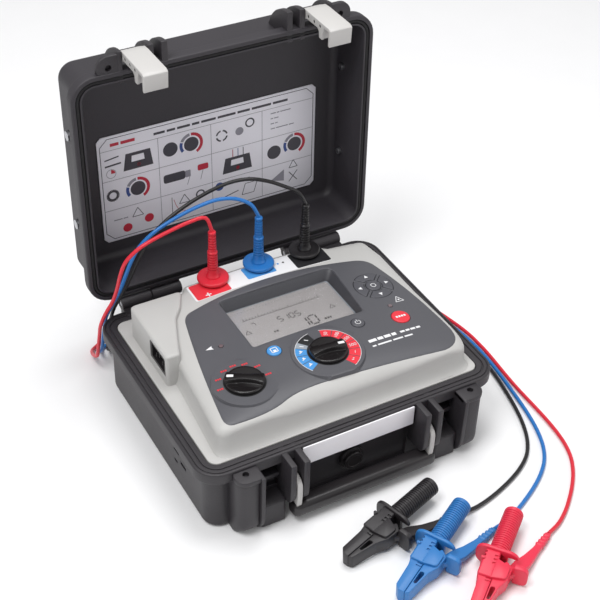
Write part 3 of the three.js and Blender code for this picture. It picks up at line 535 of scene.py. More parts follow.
def plastic(name, colour, rough=0.45, grain=0.35, grain_size=0.5, variation=0.08, edge_highlight=0.25,
            highlight_colour=None, metallic=0.0, coat=0.0):
    """Moulded plastic: fine grain in the surface, soft blotches of tone and roughness, and a
    painted highlight that makes every edge lighter, patchy with the blotches. Colours are 0-255 and
    grain_size is in mm."""
    material = bpy.data.materials.new(name)
    material.use_nodes = True
    tree = material.node_tree
    colour = srgb(*colour)
    highlight_tint = srgb(*highlight_colour) if highlight_colour else tuple(min(1, c * 1.8 + 0.02) for c in colour[:3]) + (1,)

    place = add_node(tree, "TexCoord", {}, "Object")
    blotch = add_node(tree, "TexNoise", {"Vector": place, "Scale": 18, "Detail": 5}, "Fac")
    specks_per_metre = 1 / (grain_size * MM * 2)
    speck = add_node(tree, "TexNoise", {"Vector": place, "Scale": specks_per_metre, "Detail": 3}, "Fac")
    tone = add_node(tree, "MapRange", {"Value": blotch, "To Min": 1 - variation, "To Max": 1 + variation},
                    "Result")
    base = add_node(tree, "VectorMath", {0: colour[:3], "Scale": tone}, "Vector", operation="SCALE")

    rounding = add_node(tree, "Bevel", {"Radius": 0.7 * MM}, "Normal", samples=4)
    surface = add_node(tree, "NewGeometry", {}, "Normal")
    facing = add_node(tree, "VectorMath", {0: rounding, 1: surface}, "Value", operation="DOT_PRODUCT")
    # painted highlight: near every edge, where the rounded normal turns away from the face, the colour goes
    # lighter
    edge = add_node(tree, "MapRange", {"Value": facing, "From Min": 0.995, "From Max": 0.88, "To Max": edge_highlight},
                    "Result")
    patchy_highlight = add_node(tree, "Math", {0: edge, 1: blotch}, "Value", operation="MULTIPLY")
    mix = add_node(tree, "Mix", {"Factor": patchy_highlight, "A": base, "B": highlight_tint}, "Result", data_type="RGBA")

    gloss = add_node(tree, "MapRange", {"Value": blotch, "To Min": rough - 0.06, "To Max": rough + 0.08},
                     "Result")
    bump = add_node(tree, "Bump", {"Strength": grain, "Distance": grain_size * MM * 0.35,
                                   "Height": speck, "Normal": rounding}, "Normal")
    set_inputs(tree, tree.nodes["Principled BSDF"], {
        "Base Color": mix, "Roughness": gloss, "Normal": bump, "Metallic": metallic,
        "Coat Weight": coat, "Coat Roughness": 0.15,
    })
    return material


def clear_window():
    """The thin clear cover over the display."""
    material = plastic("window_clear", (235, 235, 235), rough=0.12, grain=0.02, edge_highlight=0)
    shader = material.node_tree.nodes["Principled BSDF"]
    shader.inputs["Transmission Weight"].default_value = 1
    shader.inputs["Alpha"].default_value = 0.22
    return material


# Each row: name, colour, rough, grain, grain size, variation, the strength of the painted edge highlight and
# its colour.
PAINT = {
    "case": plastic("case_texture", (46, 43, 47), 0.48, 0.8, 0.7, 0.14, 0.35),
    "case_inside": plastic("case_inside", (48, 45, 50), 0.55, 0.7, 0.9, 0.14, 0.2),
    "seal": plastic("seal_rubber", (20, 19, 21), 0.75, 0.2, 0.8, 0.1, 0.1),
    "grip": plastic("grip_black", (36, 33, 35), 0.34, 0.12, 0.4, 0.08, 0.25),
    "panel": plastic("panel_grey", (186, 185, 183), 0.5, 0.25, 0.4, 0.03, 0.15, (202, 201, 199)),
    "latch": plastic("latch_white", (188, 186, 184), 0.42, 0.1, 0.5, 0.03, 0.2, (212, 211, 208)),
    "facia": plastic("facia_grey", (82, 82, 87), 0.42, 0.4, 0.35, 0.05, 0.15),
    # darker than the facia: painted shade for the shadow inside the display well
    "recess": plastic("recess_shaded_grey", (64, 64, 69), 0.42, 0.3, 0.35, 0.05, 0.15),
    "knob": plastic("knob_black", (24, 21, 22), 0.22, 0.06, 0.4, 0.08, 0.3),
    "display": plastic("display_grey", (168, 164, 164), 0.3, 0.04, 1.5, 0.04, 0),
    "ink": plastic("segment_ink", (74, 71, 72), 0.4, 0.02, 1.0, 0.05, 0),
    "white": plastic("print_white", (232, 232, 234), 0.45, 0.03, 0.6, 0.02, 0),
    "print_black": plastic("print_black", (30, 30, 33), 0.42, 0.03, 0.6, 0.05, 0),
    "label": plastic("label_film", (232, 230, 238), 0.4, 0.05, 1.2, 0.02, 0),
    "plate": plastic("plate_white", (238, 236, 240), 0.4, 0.08, 0.8, 0.03, 0.1),
    "steel": plastic("pin_steel", (176, 177, 181), 0.3, 0.1, 0.3, 0.06, 0.1, metallic=0.95),
    "brass": plastic("terminal_brass", (186, 158, 90), 0.32, 0.08, 0.3, 0.06, 0.1, metallic=0.95),
    "board": plastic("circuit_board", (36, 92, 58), 0.45, 0.15, 0.8, 0.12, 0.1),
    "module": plastic("module_black", (44, 50, 60), 0.5, 0.3, 0.6, 0.1, 0.2),
    "key_grey": plastic("key_grey", (78, 78, 84), 0.45, 0.2, 0.4, 0.05, 0.2),
    # near-black painted shade: the shadow ring round each knob and the shade inside each latch
    "painted_gap_shade": plastic("painted_gap_shade", (12, 12, 14), 0.7, 0.1, 0.5, 0.05, 0),
    "lens": plastic("lens_smoke", (112, 96, 100), 0.2, 0.03, 0.5, 0.05, 0, coat=0.6),
    "window": clear_window(),
    "lead_red": plastic("lead_red", (214, 38, 56), 0.33, 0.06, 0.6, 0.05, 0.1, (240, 90, 100)),
    "lead_blue": plastic("lead_blue", (34, 112, 186), 0.33, 0.06, 0.6, 0.05, 0.1, (90, 165, 225)),
    "lead_black": plastic("lead_black", (26, 24, 26), 0.36, 0.06, 0.6, 0.08, 0.2),
    "clip_red": plastic("clip_red", (226, 48, 76), 0.4, 0.18, 0.5, 0.05, 0.2, (244, 120, 136)),
    "clip_blue": plastic("clip_blue", (44, 118, 186), 0.4, 0.18, 0.5, 0.05, 0.2, (110, 172, 226)),
    "clip_black": plastic("clip_black", (38, 35, 38), 0.42, 0.18, 0.5, 0.08, 0.3),
}
for key, shade in (("red", (222, 48, 62)), ("blue", (70, 145, 210)), ("grey", (150, 158, 168))):
    PAINT[f"print_{key}"] = plastic(f"print_{key}", shade, 0.42, 0.03, 0.6, 0.03, 0)
for key, shade in (("ink", (66, 64, 72)), ("grey", (140, 138, 148)), ("red", (186, 42, 62)),
                   ("blue", (52, 76, 140))):
    PAINT[f"label_{key}"] = plastic(f"label_{key}", shade, 0.45, 0.03, 0.8, 0.1, 0)


# ---------------------------------------------------------------- case base
def case_piece(name, made, body, stands_for=()):
    """A piece of the moulded case. Those of the lid are drawn shut."""
    piece(name, made, "case", body, stands_for, shut=body == "lid")


def base_shell():
    """The tub and its rim, swept round as one profile of (inset from the rim, height)."""
    profile = arc(13.2, 5, 5, 270, 180, 5)
    profile += arc(5.7, 61, 2.5, 0, 90, 4)
    profile += arc(1.4, FLANGE_Z + 1.4, 1.4, 270, 180, 4)
    profile += arc(1.6, RIM_Z - 1.6, 1.6, 180, 90, 5)
    profile += [(2.5, RIM_Z), (2.8, RIM_Z - 1), (3.6, RIM_Z - 1), (3.9, RIM_Z)]
    profile += [(6.8, RIM_Z), (7.2, RIM_Z - 1.4), (8.5, RIM_Z - 1.4), (8.9, RIM_Z - 0.2)]
    profile += arc(13.2, RIM_Z - 1.3, 1.1, 90, 0, 4)
    profile += [(14.3, RIM_Z - 3.1), (14.7, RIM_Z - 3.5), (19.2, RIM_Z - 3.5), (19.5, RIM_Z - 4)]
    profile += [(19.5, 6), (21.5, 4)]
    shell = loft([rim_ring(i, z) for i, z in profile])
    cuts = [block(-NICHE_X, NICHE_X, -126, WALL_Y, 3.5, 50, 1)]
    for side, _ in SIDES:
        cuts.append(block(*span(side, *BAY_X), -124, -111, 31, FLANGE_Z, 0.6))
        for y0, y1, z0, z1 in SIDE_NOTCHES:
            cuts.append(block(*span(side, *SIDE_NOTCH_X), y0, y1, z0, z1))
    return cut(shell, *cuts)


def base_rib_outline():
    """A rib's (y, z) outline, curved in under the case."""
    top = RIM_Z - RIB_GAP
    low = quadratic((-133, 24), (-142.5, 25), (-143.2, 36))
    return [(WALL_Y, top), (WALL_Y, 24)] + low + [(-143.3, 40), (-143.5, top)]


def guard_front(z):
    """How far forward the corner guards and lug columns stand at a height."""
    t = min(1, max(0, (z - 1) / 23))
    return -131 - 11.2 * (1 - (1 - t) ** 2.6) - 0.8 * min(1, max(0, (z - 24) / 40))


def base_guard_outline(top):
    """The (y, z) outline of the guard beside each latch, curved in under the case."""
    heights = [1, 2, 3.4, 5, 7.5, 11, 16, 24, 45, top]
    return [(-110, top), (-110, 1)] + [(guard_front(z), z) for z in heights]


def lug_plate(side, z0, z1):
    """The rounded tab with the padlock hole."""
    outline = arc(LUG_X, LUG_Y, LUG_R, -90, 40, 14) + [(LUG_X + 9, WALL_Y - 2), (GUARD_X[0], WALL_Y - 2)]
    outline += [(GUARD_X[0], LUG_Y - LUG_R + 1.5), (GUARD_X[0] + 1.5, LUG_Y - LUG_R)]
    if side < 0:
        outline = [(-x, y) for x, y in outline]
    plate = prism(anticlockwise(outline), z0, z1, 0.9, 3)
    hole = rod((side * LUG_X, LUG_Y, z0 - 3), (side * LUG_X, LUG_Y, z1 + 3), LUG_HOLE_R, 24)
    return cut(plate, hole)


def lug_column(side, z_low, z_high, front):
    """The pillar behind the lug. front(z) gives how far forward it stands at each height."""
    plan = arc(120, LUG_Y, 10, -75, 0, 8) + [(130, WALL_Y - 1), (GUARD_X[0] + 1, WALL_Y - 1)]
    plan += [(GUARD_X[0] + 1, LUG_Y - 7.5), (112, LUG_Y - 9.6)]
    if side < 0:
        plan = [(-x, y) for x, y in plan]
    plan = anticlockwise(plan)
    full = min(y for _, y in plan)
    rings = []
    for k in range(15):
        z = z_low + (z_high - z_low) * k / 14
        scale = max(0.1, (WALL_Y - max(front(z) + 1.5, full)) / (WALL_Y - full))
        rings.append([(x, WALL_Y + (y - WALL_Y) * scale, z) for x, y in plan])
    return soften(loft(rings), 0.7, 2, 50)


def build_base():
    """The tub with its ribs, guards, lugs, feet, catch bars and hinge knuckles."""
    case_piece("base_shell", base_shell(), "case", ["case_base"])
    for side, word in SIDES:
        for near, far in RIBS:
            rib = along_x(base_rib_outline(), *span(side, near, far), 0.8, 3)
            case_piece(f"base_rib_{word}_{int(near)}", rib, "case")
        guard = along_x(base_guard_outline(RIM_Z - 3), *span(side, *GUARD_X), 0.7, 3)
        case_piece(f"base_guard_{word}", guard, "case")
        column = lug_column(side, 1.2, RIM_Z - 7, guard_front)
        case_piece(f"base_column_{word}", column, "case")
        case_piece(f"base_lug_{word}", lug_plate(side, RIM_Z - 7.7, RIM_Z - 2.7), "case")
        x0, x1 = span(side, *BAY_X)
        case_piece(f"base_foot_{word}", prism(rectangle(x0, -135, x1, -113, 4), 0.5, 27, 1.5, 3), "case")
        case_piece(f"catch_bar_{word}", block(x0, x1, -120.5, -111, 44, 49, 1, 3), "case")
        barrel = knuckle(side, 93.3, 126, 67, HINGE_Z - 2.6)
        case_piece(f"base_knuckle_{word}", barrel, "case")
    boss = block(-NICHE_X - 1, NICHE_X + 1, -124.4, -115, 51, FLANGE_Z + 0.5, 0.6)
    case_piece("plate_boss", boss, "case")


def knuckle(side, near, far, z0, z1):
    """A hinge barrel with the web that joins it to the case wall."""
    x0, x1 = span(side, near, far)
    barrel = rod((x0, HINGE_Y, HINGE_Z), (x1, HINGE_Y, HINGE_Z), 7, 32, 0.8)
    web = block(x0, x1, 116, HINGE_Y, z0, z1, 0.5)
    bore = rod((x0 - 3, HINGE_Y, HINGE_Z), (x1 + 3, HINGE_Y, HINGE_Z), 2.8, 24)
    return cut(joined(barrel, web), bore)


# ---------------------------------------------------------------- lid
def lid_shell():
    """The lid's rim, walls and roof, swept round as one profile, drawn shut."""
    profile = [(11.4, LID_ROOF_Z - 7), (11, 100), (11, LID_RIM_Z + 1.2)]
    profile += [(10.4, LID_RIM_Z), (8.7, LID_RIM_Z), (8.7, LID_RIM_Z + 3.1), (4.3, LID_RIM_Z + 3.1)]
    profile += [(4.3, LID_RIM_Z)]
    profile += arc(1.5, LID_RIM_Z + 1.5, 1.5, 270, 180, 5)
    profile += arc(1.4, LID_RIM_Z + 12 - 1.4, 1.4, 180, 90, 4)
    profile += arc(6.2, LID_RIM_Z + 14, 2, 270, 360, 4)
    profile += arc(13.2, LID_TOP_Z - 5, 5, 180, 90, 6)
    rings = [rim_ring(i, z) for i, z in profile]
    inner = [rim_ring(18.4 - 7 * math.sin(a), LID_ROOF_Z - 7 * (1 - math.cos(a)))
             for a in (0, 0.26, 0.52, 0.79, 1.05, 1.31)]
    return loft(inner + rings)


def lid_rib_outline():
    """The half-round (y, z) outline of the lid's ribs and guards."""
    low = LID_RIM_Z + RIB_GAP
    return [(WALL_Y, low)] + quadratic((-143.5, low), (-142.5, 106), (-114, 116), 12) \
        + [(-114, 116), (WALL_Y, 116)]


def lid_web_front(z):
    """How far forward the short web behind the lid's lug stands."""
    return -136 + 20 * min(1, (z - LID_RIM_Z - 5) / 12)


def build_lid():
    """The lid with its ribs, guards, lugs, hinge knuckles and gasket."""
    piece("lid_shell", lid_shell(), "case_inside", "lid", ["case_lid"], shut=True)
    outline = lid_rib_outline()
    for side, word in SIDES:
        for near, far in RIBS:
            case_piece(f"lid_rib_{word}_{int(near)}", along_x(outline, *span(side, near, far), 0.8, 3), "lid")
        case_piece(f"lid_guard_{word}", along_x(outline, *span(side, *GUARD_X), 0.7, 3), "lid")
        column = lug_column(side, LID_RIM_Z + 5, LID_RIM_Z + 18, lid_web_front)
        case_piece(f"lid_column_{word}", column, "lid")
        case_piece(f"lid_lug_{word}", lug_plate(side, LID_RIM_Z + 1, LID_RIM_Z + 6), "lid")
        barrel = knuckle(side, 60.3, 92.7, HINGE_Z + 0.6, HINGE_Z + 8.5)
        case_piece(f"lid_knuckle_{word}", barrel, "lid")
    section = ((4.8, 2.9), (4.8, 1.2), (5.4, 0.6), (7.6, 0.6), (8.2, 1.2), (8.2, 2.9))
    seal = [rim_ring(inset, LID_RIM_Z + rise) for inset, rise in section]
    piece("lid_gasket", loft(seal, close=True), "seal", "lid", ["lid_seal"], shut=True)


# ---------------------------------------------------------------- printed card in the lid
def ink(outline, lift):
    """A printed mark on the card: its face looks down when the lid is shut."""
    return prism(anticlockwise(outline), LABEL_FACE - lift, LABEL_FACE + 0.05)


def stroke(points, width, closed=False):
    """A printed line as a chain of short bars."""
    bars = []
    ends = points[1:] + points[:1] if closed else points[1:]
    for (x0, y0), (x1, y1) in zip(points, ends):
        length = math.dist((x0, y0), (x1, y1)) or 1
        nx, ny = -(y1 - y0) / length * width / 2, (x1 - x0) / length * width / 2
        bars.append([(x0 + nx, y0 + ny), (x0 - nx, y0 - ny), (x1 - nx, y1 - ny), (x1 + nx, y1 + ny)])
    return bars


def ring_sector(x, y, r_in, r_out, start, end, steps):
    """Part of a flat ring, between two angles."""
    return arc(x, y, r_out, start, end, steps) + arc(x, y, r_in, end, start, steps)


def text_bars(x, y, widths, height=1.1, gap=1.1):
    """A row of short bars that stands for words."""
    bars = []
    for w in widths:
        bars.append([(x, y), (x + w, y), (x + w, y + height), (x, y + height)])
        x += w + gap
    return bars


class Page:
    """The printing on the card, by ink. x runs to the right and y up for a reader, from the
    card's own corner."""

    def __init__(self):
        self.marks = {key: [] for key in ("label_ink", "label_grey", "label_red", "label_blue", "label")}

    def fill(self, ink_name, outline):
        self.marks[f"label_{ink_name}"].append(outline)

    def line(self, ink_name, points, width, closed=False):
        self.marks[f"label_{ink_name}"] += stroke(points, width, closed)

    def ring(self, ink_name, x, y, r, width, steps=20):
        self.line(ink_name, circle(x, y, r, steps), width, closed=True)

    def triangle(self, x, y, height):
        self.line("ink", [(x, y), (x + height * 0.6, y + height), (x + height * 1.2, y)], 0.7, closed=True)

    def words(self, ink_name, x, y, widths, **sizes):
        self.marks[f"label_{ink_name}"] += text_bars(x, y, widths, **sizes)

    def dial(self, x, y, r=13):
        """A small picture of a round switch with its coloured scale."""
        self.fill("ink", circle(x, y, r * 0.62, 24))
        for ink_name, start, end, steps in (
                ("red", 90, -60, 12), ("blue", 215, 160, 6), ("grey", 155, 98, 6)):
            self.fill(ink_name, ring_sector(x, y, r * 0.75, r, start, end, steps))

    def instrument(self, x, y, w, h):
        """A small picture of the instrument seen from the front."""
        self.fill("ink", [(x, y), (x + w, y), (x + w * 0.92, y + h), (x + w * 0.1, y + h)])
        self.marks["label"].append([(x + w * 0.28, y + h * 0.45), (x + w * 0.72, y + h * 0.45),
                                    (x + w * 0.7, y + h * 0.82), (x + w * 0.3, y + h * 0.82)])
        self.fill("red", circle(x + w * 0.52, y + h * 0.22, h * 0.12, 12))


def print_grid(page, top, rows):
    """The border, the heading and the lines between the boxes."""
    m, c, w, h = LABEL_MARGIN, LABEL_CHAMFER, LABEL_W, LABEL_H
    page.line("ink", [(m + c, m), (w - m - c, m), (w - m, m + c), (w - m, h - m - c), (w - m - c, h - m),
                      (m + c, h - m), (m, h - m - c), (m, m + c)], 0.7, closed=True)
    page.line("grey", [(m, top), (w - m, top)], 0.5)
    for x in LABEL_COLUMNS:
        page.line("grey", [(x, m), (x, top)], 0.5)
    for y in rows:
        page.line("grey", [(m, y), (w - m, y)], 0.5)
    page.words("red", 14, h - 12, [9, 15], height=3.4, gap=2)
    page.words("ink", 60, h - 11.6, [12, 9, 14, 8, 16, 20, 14, 22, 17], height=2.6, gap=2.2)


def print_top_row(page, y):
    """An instrument with its leads, two dials, a ring of sectors and lines of writing."""
    page.instrument(26, y + 7, 32, 19)
    page.line("ink", [(7, y + 24), (22, y + 26)], 1.4)
    page.line("ink", [(7, y + 17), (24, y + 18)], 1.8)
    page.ring("grey", 13, y + 8, 5, 0.5)
    page.fill("red", [(13, y + 8)] + arc(13, y + 8, 4.4, 0, 90, 5))
    page.dial(100, y + 18)
    page.fill("ink", circle(77, y + 18, 8, 24))
    for k in range(4):
        page.fill("ink", ring_sector(134, y + 18, 5, 6.8, 90 * k + 12, 90 * k + 78, 4))
    page.fill("grey", circle(154, y + 18, 4.6, 20))
    page.ring("ink", 166, y + 25, 4.6, 1.6)
    for k, widths in enumerate(([6, 3, 12], [3, 5], [4, 3], [5, 14, 6])):
        page.words("grey", 190, y + 28 - 6 * k, widths)


def print_middle_row(page, y):
    """A dial, a plug and its socket, an instrument with three leads, and two dials."""
    page.dial(40, y + 18)
    page.ring("ink", 13, y + 17, 5.4, 3, 24)
    page.fill("ink", rectangle(68, y + 14, 92, y + 24, 3))
    page.fill("grey", rectangle(92, y + 15, 98, y + 23, 1))
    page.fill("red", rectangle(106, y + 19, 118, y + 26, 2))
    page.line("grey", [(97, y + 15), (94, y + 6)], 0.6)
    page.line("grey", [(112, y + 19), (109, y + 8)], 0.6)
    page.instrument(134, y + 6, 34, 18)
    for k, ink_name in enumerate(("red", "blue", "ink")):
        page.line(ink_name, [(146 + 6 * k, y + 24), (146 + 6 * k, y + 33)], 0.8)
    page.dial(218, y + 20)
    page.fill("ink", circle(194, y + 16, 8, 24))


def print_bottom_row(page, y):
    """Keys, a falling curve on its axes, a lamp and a few plain signs."""
    for x, rise in ((26, 9), (50, 13.8)):
        page.fill("red", circle(x, y + rise, 5, 24))
    page.triangle(32, y + 20, 10)
    page.words("grey", 12, y + 21, [9, 5])
    page.line("ink", [(76, y + 30), (76, y + 7), (100, y + 7)], 0.6)
    curve = [(78 + 2.2 * k, y + 9 + 18 * math.exp(-k * 0.55)) for k in range(10)]
    page.line("red", curve, 0.5)
    page.triangle(84, y + 20, 10)
    page.ring("ink", 108, y + 25, 4.4, 1.6)
    page.fill("blue", circle(130, y + 27, 5, 24))
    page.words("grey", 140, y + 28, [8, 5, 10])
    page.line("ink", [(134, y + 12), (152, y + 16)], 1)
    page.line("ink", [(156, y + 9), (170, y + 9), (174, y + 22), (160, y + 22)], 0.7, closed=True)
    page.fill("grey", [(190, y + 16), (206, y + 12), (206, y + 26)])
    page.line("ink", [(212, y + 26), (217, y + 35), (222, y + 26)], 0.7, closed=True)
    page.line("ink", [(212, y + 9), (222, y + 21)], 0.9)
    page.line("ink", [(222, y + 9), (212, y + 21)], 0.9)


def label_marks():
    """All the printing on the card, by ink."""
    page = Page()
    low, top = LABEL_MARGIN, LABEL_H - LABEL_HEADER
    rows = [top - (top - low) * k / 3 for k in (1, 2)]
    print_grid(page, top, rows)
    print_top_row(page, rows[0])
    print_middle_row(page, rows[1])
    print_bottom_row(page, low)
    return page.marks


def build_label():
    """The reader looks at the open lid, so the card's up direction is -Y on the shut lid."""
    c = LABEL_CORNER
    x0, x1, y0, y1 = (LABEL[edge] for edge in ("x0", "x1", "y0", "y1"))
    outline = [(x0 + c, y0), (x1 - c, y0), (x1, y0 + c), (x1, y1 - c),
               (x1 - c, y1), (x0 + c, y1), (x0, y1 - c), (x0, y0 + c)]
    card = prism(outline, LABEL_FACE, LABEL_FACE + 0.8, 0.15)
    piece("label_card", card, "label", "lid", ["lid_label"], shut=True)
    for key, outlines in label_marks().items():
        lift = 0.12 if key == "label" else 0.07
        parts = [ink([(x0 + x, y1 - y) for x, y in outline], lift) for outline in outlines]
        piece(f"{key}_print", merged(*parts), key, "lid", shut=True)


# ---------------------------------------------------------------- instrument panel
def crown(x, y):
    """Height of the light panel's surface."""
    across = CROWN_Z - CROWN_DROP * (x / SIDE_X) ** 2
    bend = (ROLL_Y - y) / ROLL_LENGTH
    down = CROWN_Z - ROLL_DROP * bend * abs(bend)
    soft = 1.2
    return -soft * math.log(math.exp(-across / soft) + math.exp(-down / soft)) if abs(across - down) < 12 \
        else min(across, down)


def panel_outline():
    """The light panel seen from above, with a tab at the back for the sockets."""
    return rounded([
        (-131, -101.5, 11), (134, -101.5, 13), (135, 60, 8), (130, 90, 10), (86, 92, 2), (81, 100, 4),
        (-72, 100, 4), (-77, 92, 2), (-126, 90, 5), (-122, -2, 4)], 7)


def facia_outline(inset=0.0):
    """The facia seen from above: points on its edge, each with the one that bends the curve to
    the next, and the count of steps along each curve."""
    i = inset
    path = [
        (-112, -98 + i), (-79, -100 + i), (-60, -93.2 + i), (-44, -87.5 + i), (-14, -89 + i), (44, -92 + i),
        (108 - i, -99 + i), (131 - i, -98 + i), (130.5 - i, -70), (129 - i, -8), (116 - i, 44),
        (113 - i, 56 - i), (98, 58.5 - i), (0, 78 - i), (-84, 57.5 - i), (-92 + i, 55.5 - i),
        (-95 + i, 45), (-111 + i, -18), (-121 + i, -86), (-122.5 + i, -98 + i), (-112, -98 + i),
    ]
    points = []
    for k, steps in enumerate((8, 8, 14, 8, 12, 8, 16, 8, 12, 8)):
        points += quadratic(*path[2 * k:2 * k + 3], steps)
    return points


def edge_distance(p, outline):
    """Distance from a point to a closed outline."""
    best = 1e9
    for (x0, y0), (x1, y1) in zip(outline, outline[1:] + outline[:1]):
        dx, dy = x1 - x0, y1 - y0
        t = max(0, min(1, ((p[0] - x0) * dx + (p[1] - y0) * dy) / (dx * dx + dy * dy + 1e-12)))
        best = min(best, math.hypot(p[0] - x0 - t * dx, p[1] - y0 - t * dy))
    return best


def rolled(distance, radius):
    """How much a rounded edge has dropped at a distance in from the wall."""
    if distance >= radius:
        return 0
    return radius - math.sqrt(max(0, radius ** 2 - (radius - distance) ** 2))


def build_panel():
    """The light panel: a crowned top whose rounded edge runs down into a flared wall."""
    outline = panel_outline()
    seat = facia_outline(0.5)
    facia_edge = facia_outline()
    guides = [inset_outline(split_long_edges(outline, 6), d) for d in (0.3, 1.0, 2.2)]

    def height(x, y):
        edge = edge_distance((x, y), outline)
        radius = min(PANEL_EDGE_R, edge + edge_distance((x, y), facia_edge))
        return crown(x, y) - rolled(edge, radius)

    def flared(x, y, outward_x, outward_y):
        top, low = height(x, y), RIM_Z + 0.15
        forward = 1 + max(0, -outward_y)
        return [(x + outward_x * d * forward, y + outward_y * d * forward, low + (top - low) * part)
                for d, part in WALL_FLARE]

    top = sheet(outline, height, 2.2, holes=[seat], guides=guides, spacing=4.5, skirt=flared)
    section = ((14.9, -3.2), (14.9, -0.4), (15.4, 0.2))
    flange = loft([rim_ring(inset, RIM_Z + rise) for inset, rise in section])
    flange = cut(flange, prism(rectangle(-118, -85, 118, 85, 10), 60, 90))
    piece("panel_top", top, "panel", "case", ["top_panel"], flat_angle=50)
    piece("panel_flange", flange, "panel", "case")
    build_inlet_block()


def inlet_block_outline(inset):
    """The inlet block seen from above: its right side runs diagonally into the panel."""
    x0, y0, y1 = INLET_BLOCK["x0"] + inset, INLET_BLOCK["y0"] + inset, INLET_BLOCK["y1"] - inset
    return rounded([
        (x0, y0, 4), (-120 - inset, y0, 3.5), (-113 - inset, 22, 6), (-101 - inset, 52, 8),
        (-90 - inset, 66, 8), (-79 - inset, y1, 4), (x0, y1, 5)], 7)


def build_inlet_block():
    """The raised block at the left that holds the mains inlet, with a rounded top edge."""
    x0, z1, edge = (INLET_BLOCK[size] for size in ("x0", "z1", "edge_r"))
    rings = [[(x, y, RIM_Z - 0.2) for x, y in inlet_block_outline(0)]]
    for turn in range(0, 91, 18):
        a = math.radians(turn)
        ring = inlet_block_outline(edge * (1 - math.cos(a)))
        rings.append([(x, y, z1 - edge * (1 - math.sin(a))) for x, y in ring])
    mouth = rectangle(INLET["y0"], INLET["z0"], INLET["y1"], INLET["z1"], 2.5)
    made = cut(loft(rings), along_x(mouth, x0 - 5, x0 + INLET["depth"]))
    piece("inlet_block", made, "panel", "case", flat_angle=40)


# ---------------------------------------------------------------- facia
def pad_rise(x, y, z, pad):
    """Lift the surface to the flat pad round a knob, with a soft shoulder."""
    r = math.hypot(x - pad["x"], y - pad["y"])
    if r >= pad["pad_r"] + 0.5:
        return z
    shoulder = min(1, (pad["pad_r"] + 0.5 - r) / 0.8)
    ease = shoulder * shoulder * (3 - 2 * shoulder)
    return max(z, z + (pad["pad_z"] - z) * ease)


def facia_height(x, y):
    """Height of the facia's surface, with its two knob pads."""
    z = crown(x, y) + FACIA_PROUD
    for pad in (VOLTAGE, MODE):
        z = pad_rise(x, y, z, pad)
    return z


def key_outlines(grow):
    """The openings for the keys and lamps, made larger all round."""
    keys = [circle(k["x"], k["y"], k["r"] + grow, 40) for k in KEYS.values()]
    keys += [circle(x, y, r + grow * 0.7, 20) for x, y, r in LEDS]
    return keys + [nav_outline(i, grow) for i in range(4)]


def nav_outline(index, grow):
    """One of the four curved arrow keys round the OK key."""
    half_out = 45 - math.degrees((NAV["gap"] - grow) / NAV["r_out"])
    half_in = 45 - math.degrees((NAV["gap"] - grow) / NAV["r_in"])
    middle = 90 * index
    return arc(NAV["x"], NAV["y"], NAV["r_out"] + grow, middle - half_out, middle + half_out, 12) \
        + arc(NAV["x"], NAV["y"], NAV["r_in"] - grow, middle + half_in, middle - half_in, 8)


def brow_outline():
    """The display recess where it meets the facia: wider at the back right."""
    w = WINDOW
    return rounded([(w["x0"] - 1.2, w["y0"] - 1.2, 3), (w["x1"] + 1.5, w["y0"] - 1.2, 4),
                    (w["x1"] + 8, w["y1"] + 6.8, 9), (w["x0"] - 1.2, w["y1"] + 6.8, 5)], 6)


def build_facia():
    """The dark control panel, with openings for the recess, the keys and the lamps."""
    outline = facia_outline()
    brow = brow_outline()
    guides = [inset_outline(split_long_edges(outline, 5), d) for d in (0.35, 1.1)]
    guides += [inset_outline(split_long_edges(brow, 4), -d) for d in (0.4, 1.1)]
    for pad in (VOLTAGE, MODE):
        for r in (pad["pad_r"] + 0.5, pad["pad_r"] - 0.3, pad["pad_r"] - 1.0):
            ring = circle(pad["x"], pad["y"], r, 72)
            guides.append([p for p in ring if inside(p, outline) and edge_distance(p, outline) > 1.6])

    def height(x, y):
        z = facia_height(x, y) - rolled(edge_distance((x, y), outline), FACIA_EDGE_R)
        z -= rolled(edge_distance((x, y), brow), FACIA_EDGE_R)
        for key in KEYS.values():
            away = math.hypot(x - key["x"], y - key["y"]) - key["r"]
            if 0 < away < 1.4:
                z -= 0.25 * (1 - away / 1.4)
        return z

    top = sheet(outline, height, 5.2, holes=[brow] + key_outlines(0.45), guides=guides, spacing=4.5)
    piece("facia_top", top, "facia", "case", ["facia"], flat_angle=40)
    build_recess(brow)
    shadows = []
    for pad in (VOLTAGE, MODE):
        ring = circle(pad["x"], pad["y"], pad["r"] + 1.3, 56)
        shadows.append(sheet(ring, lambda x, y: pad["pad_z"] + 0.12, 0.1, spacing=8))
    piece("knob_shadow_rings", merged(*shadows), "painted_gap_shade", "case")


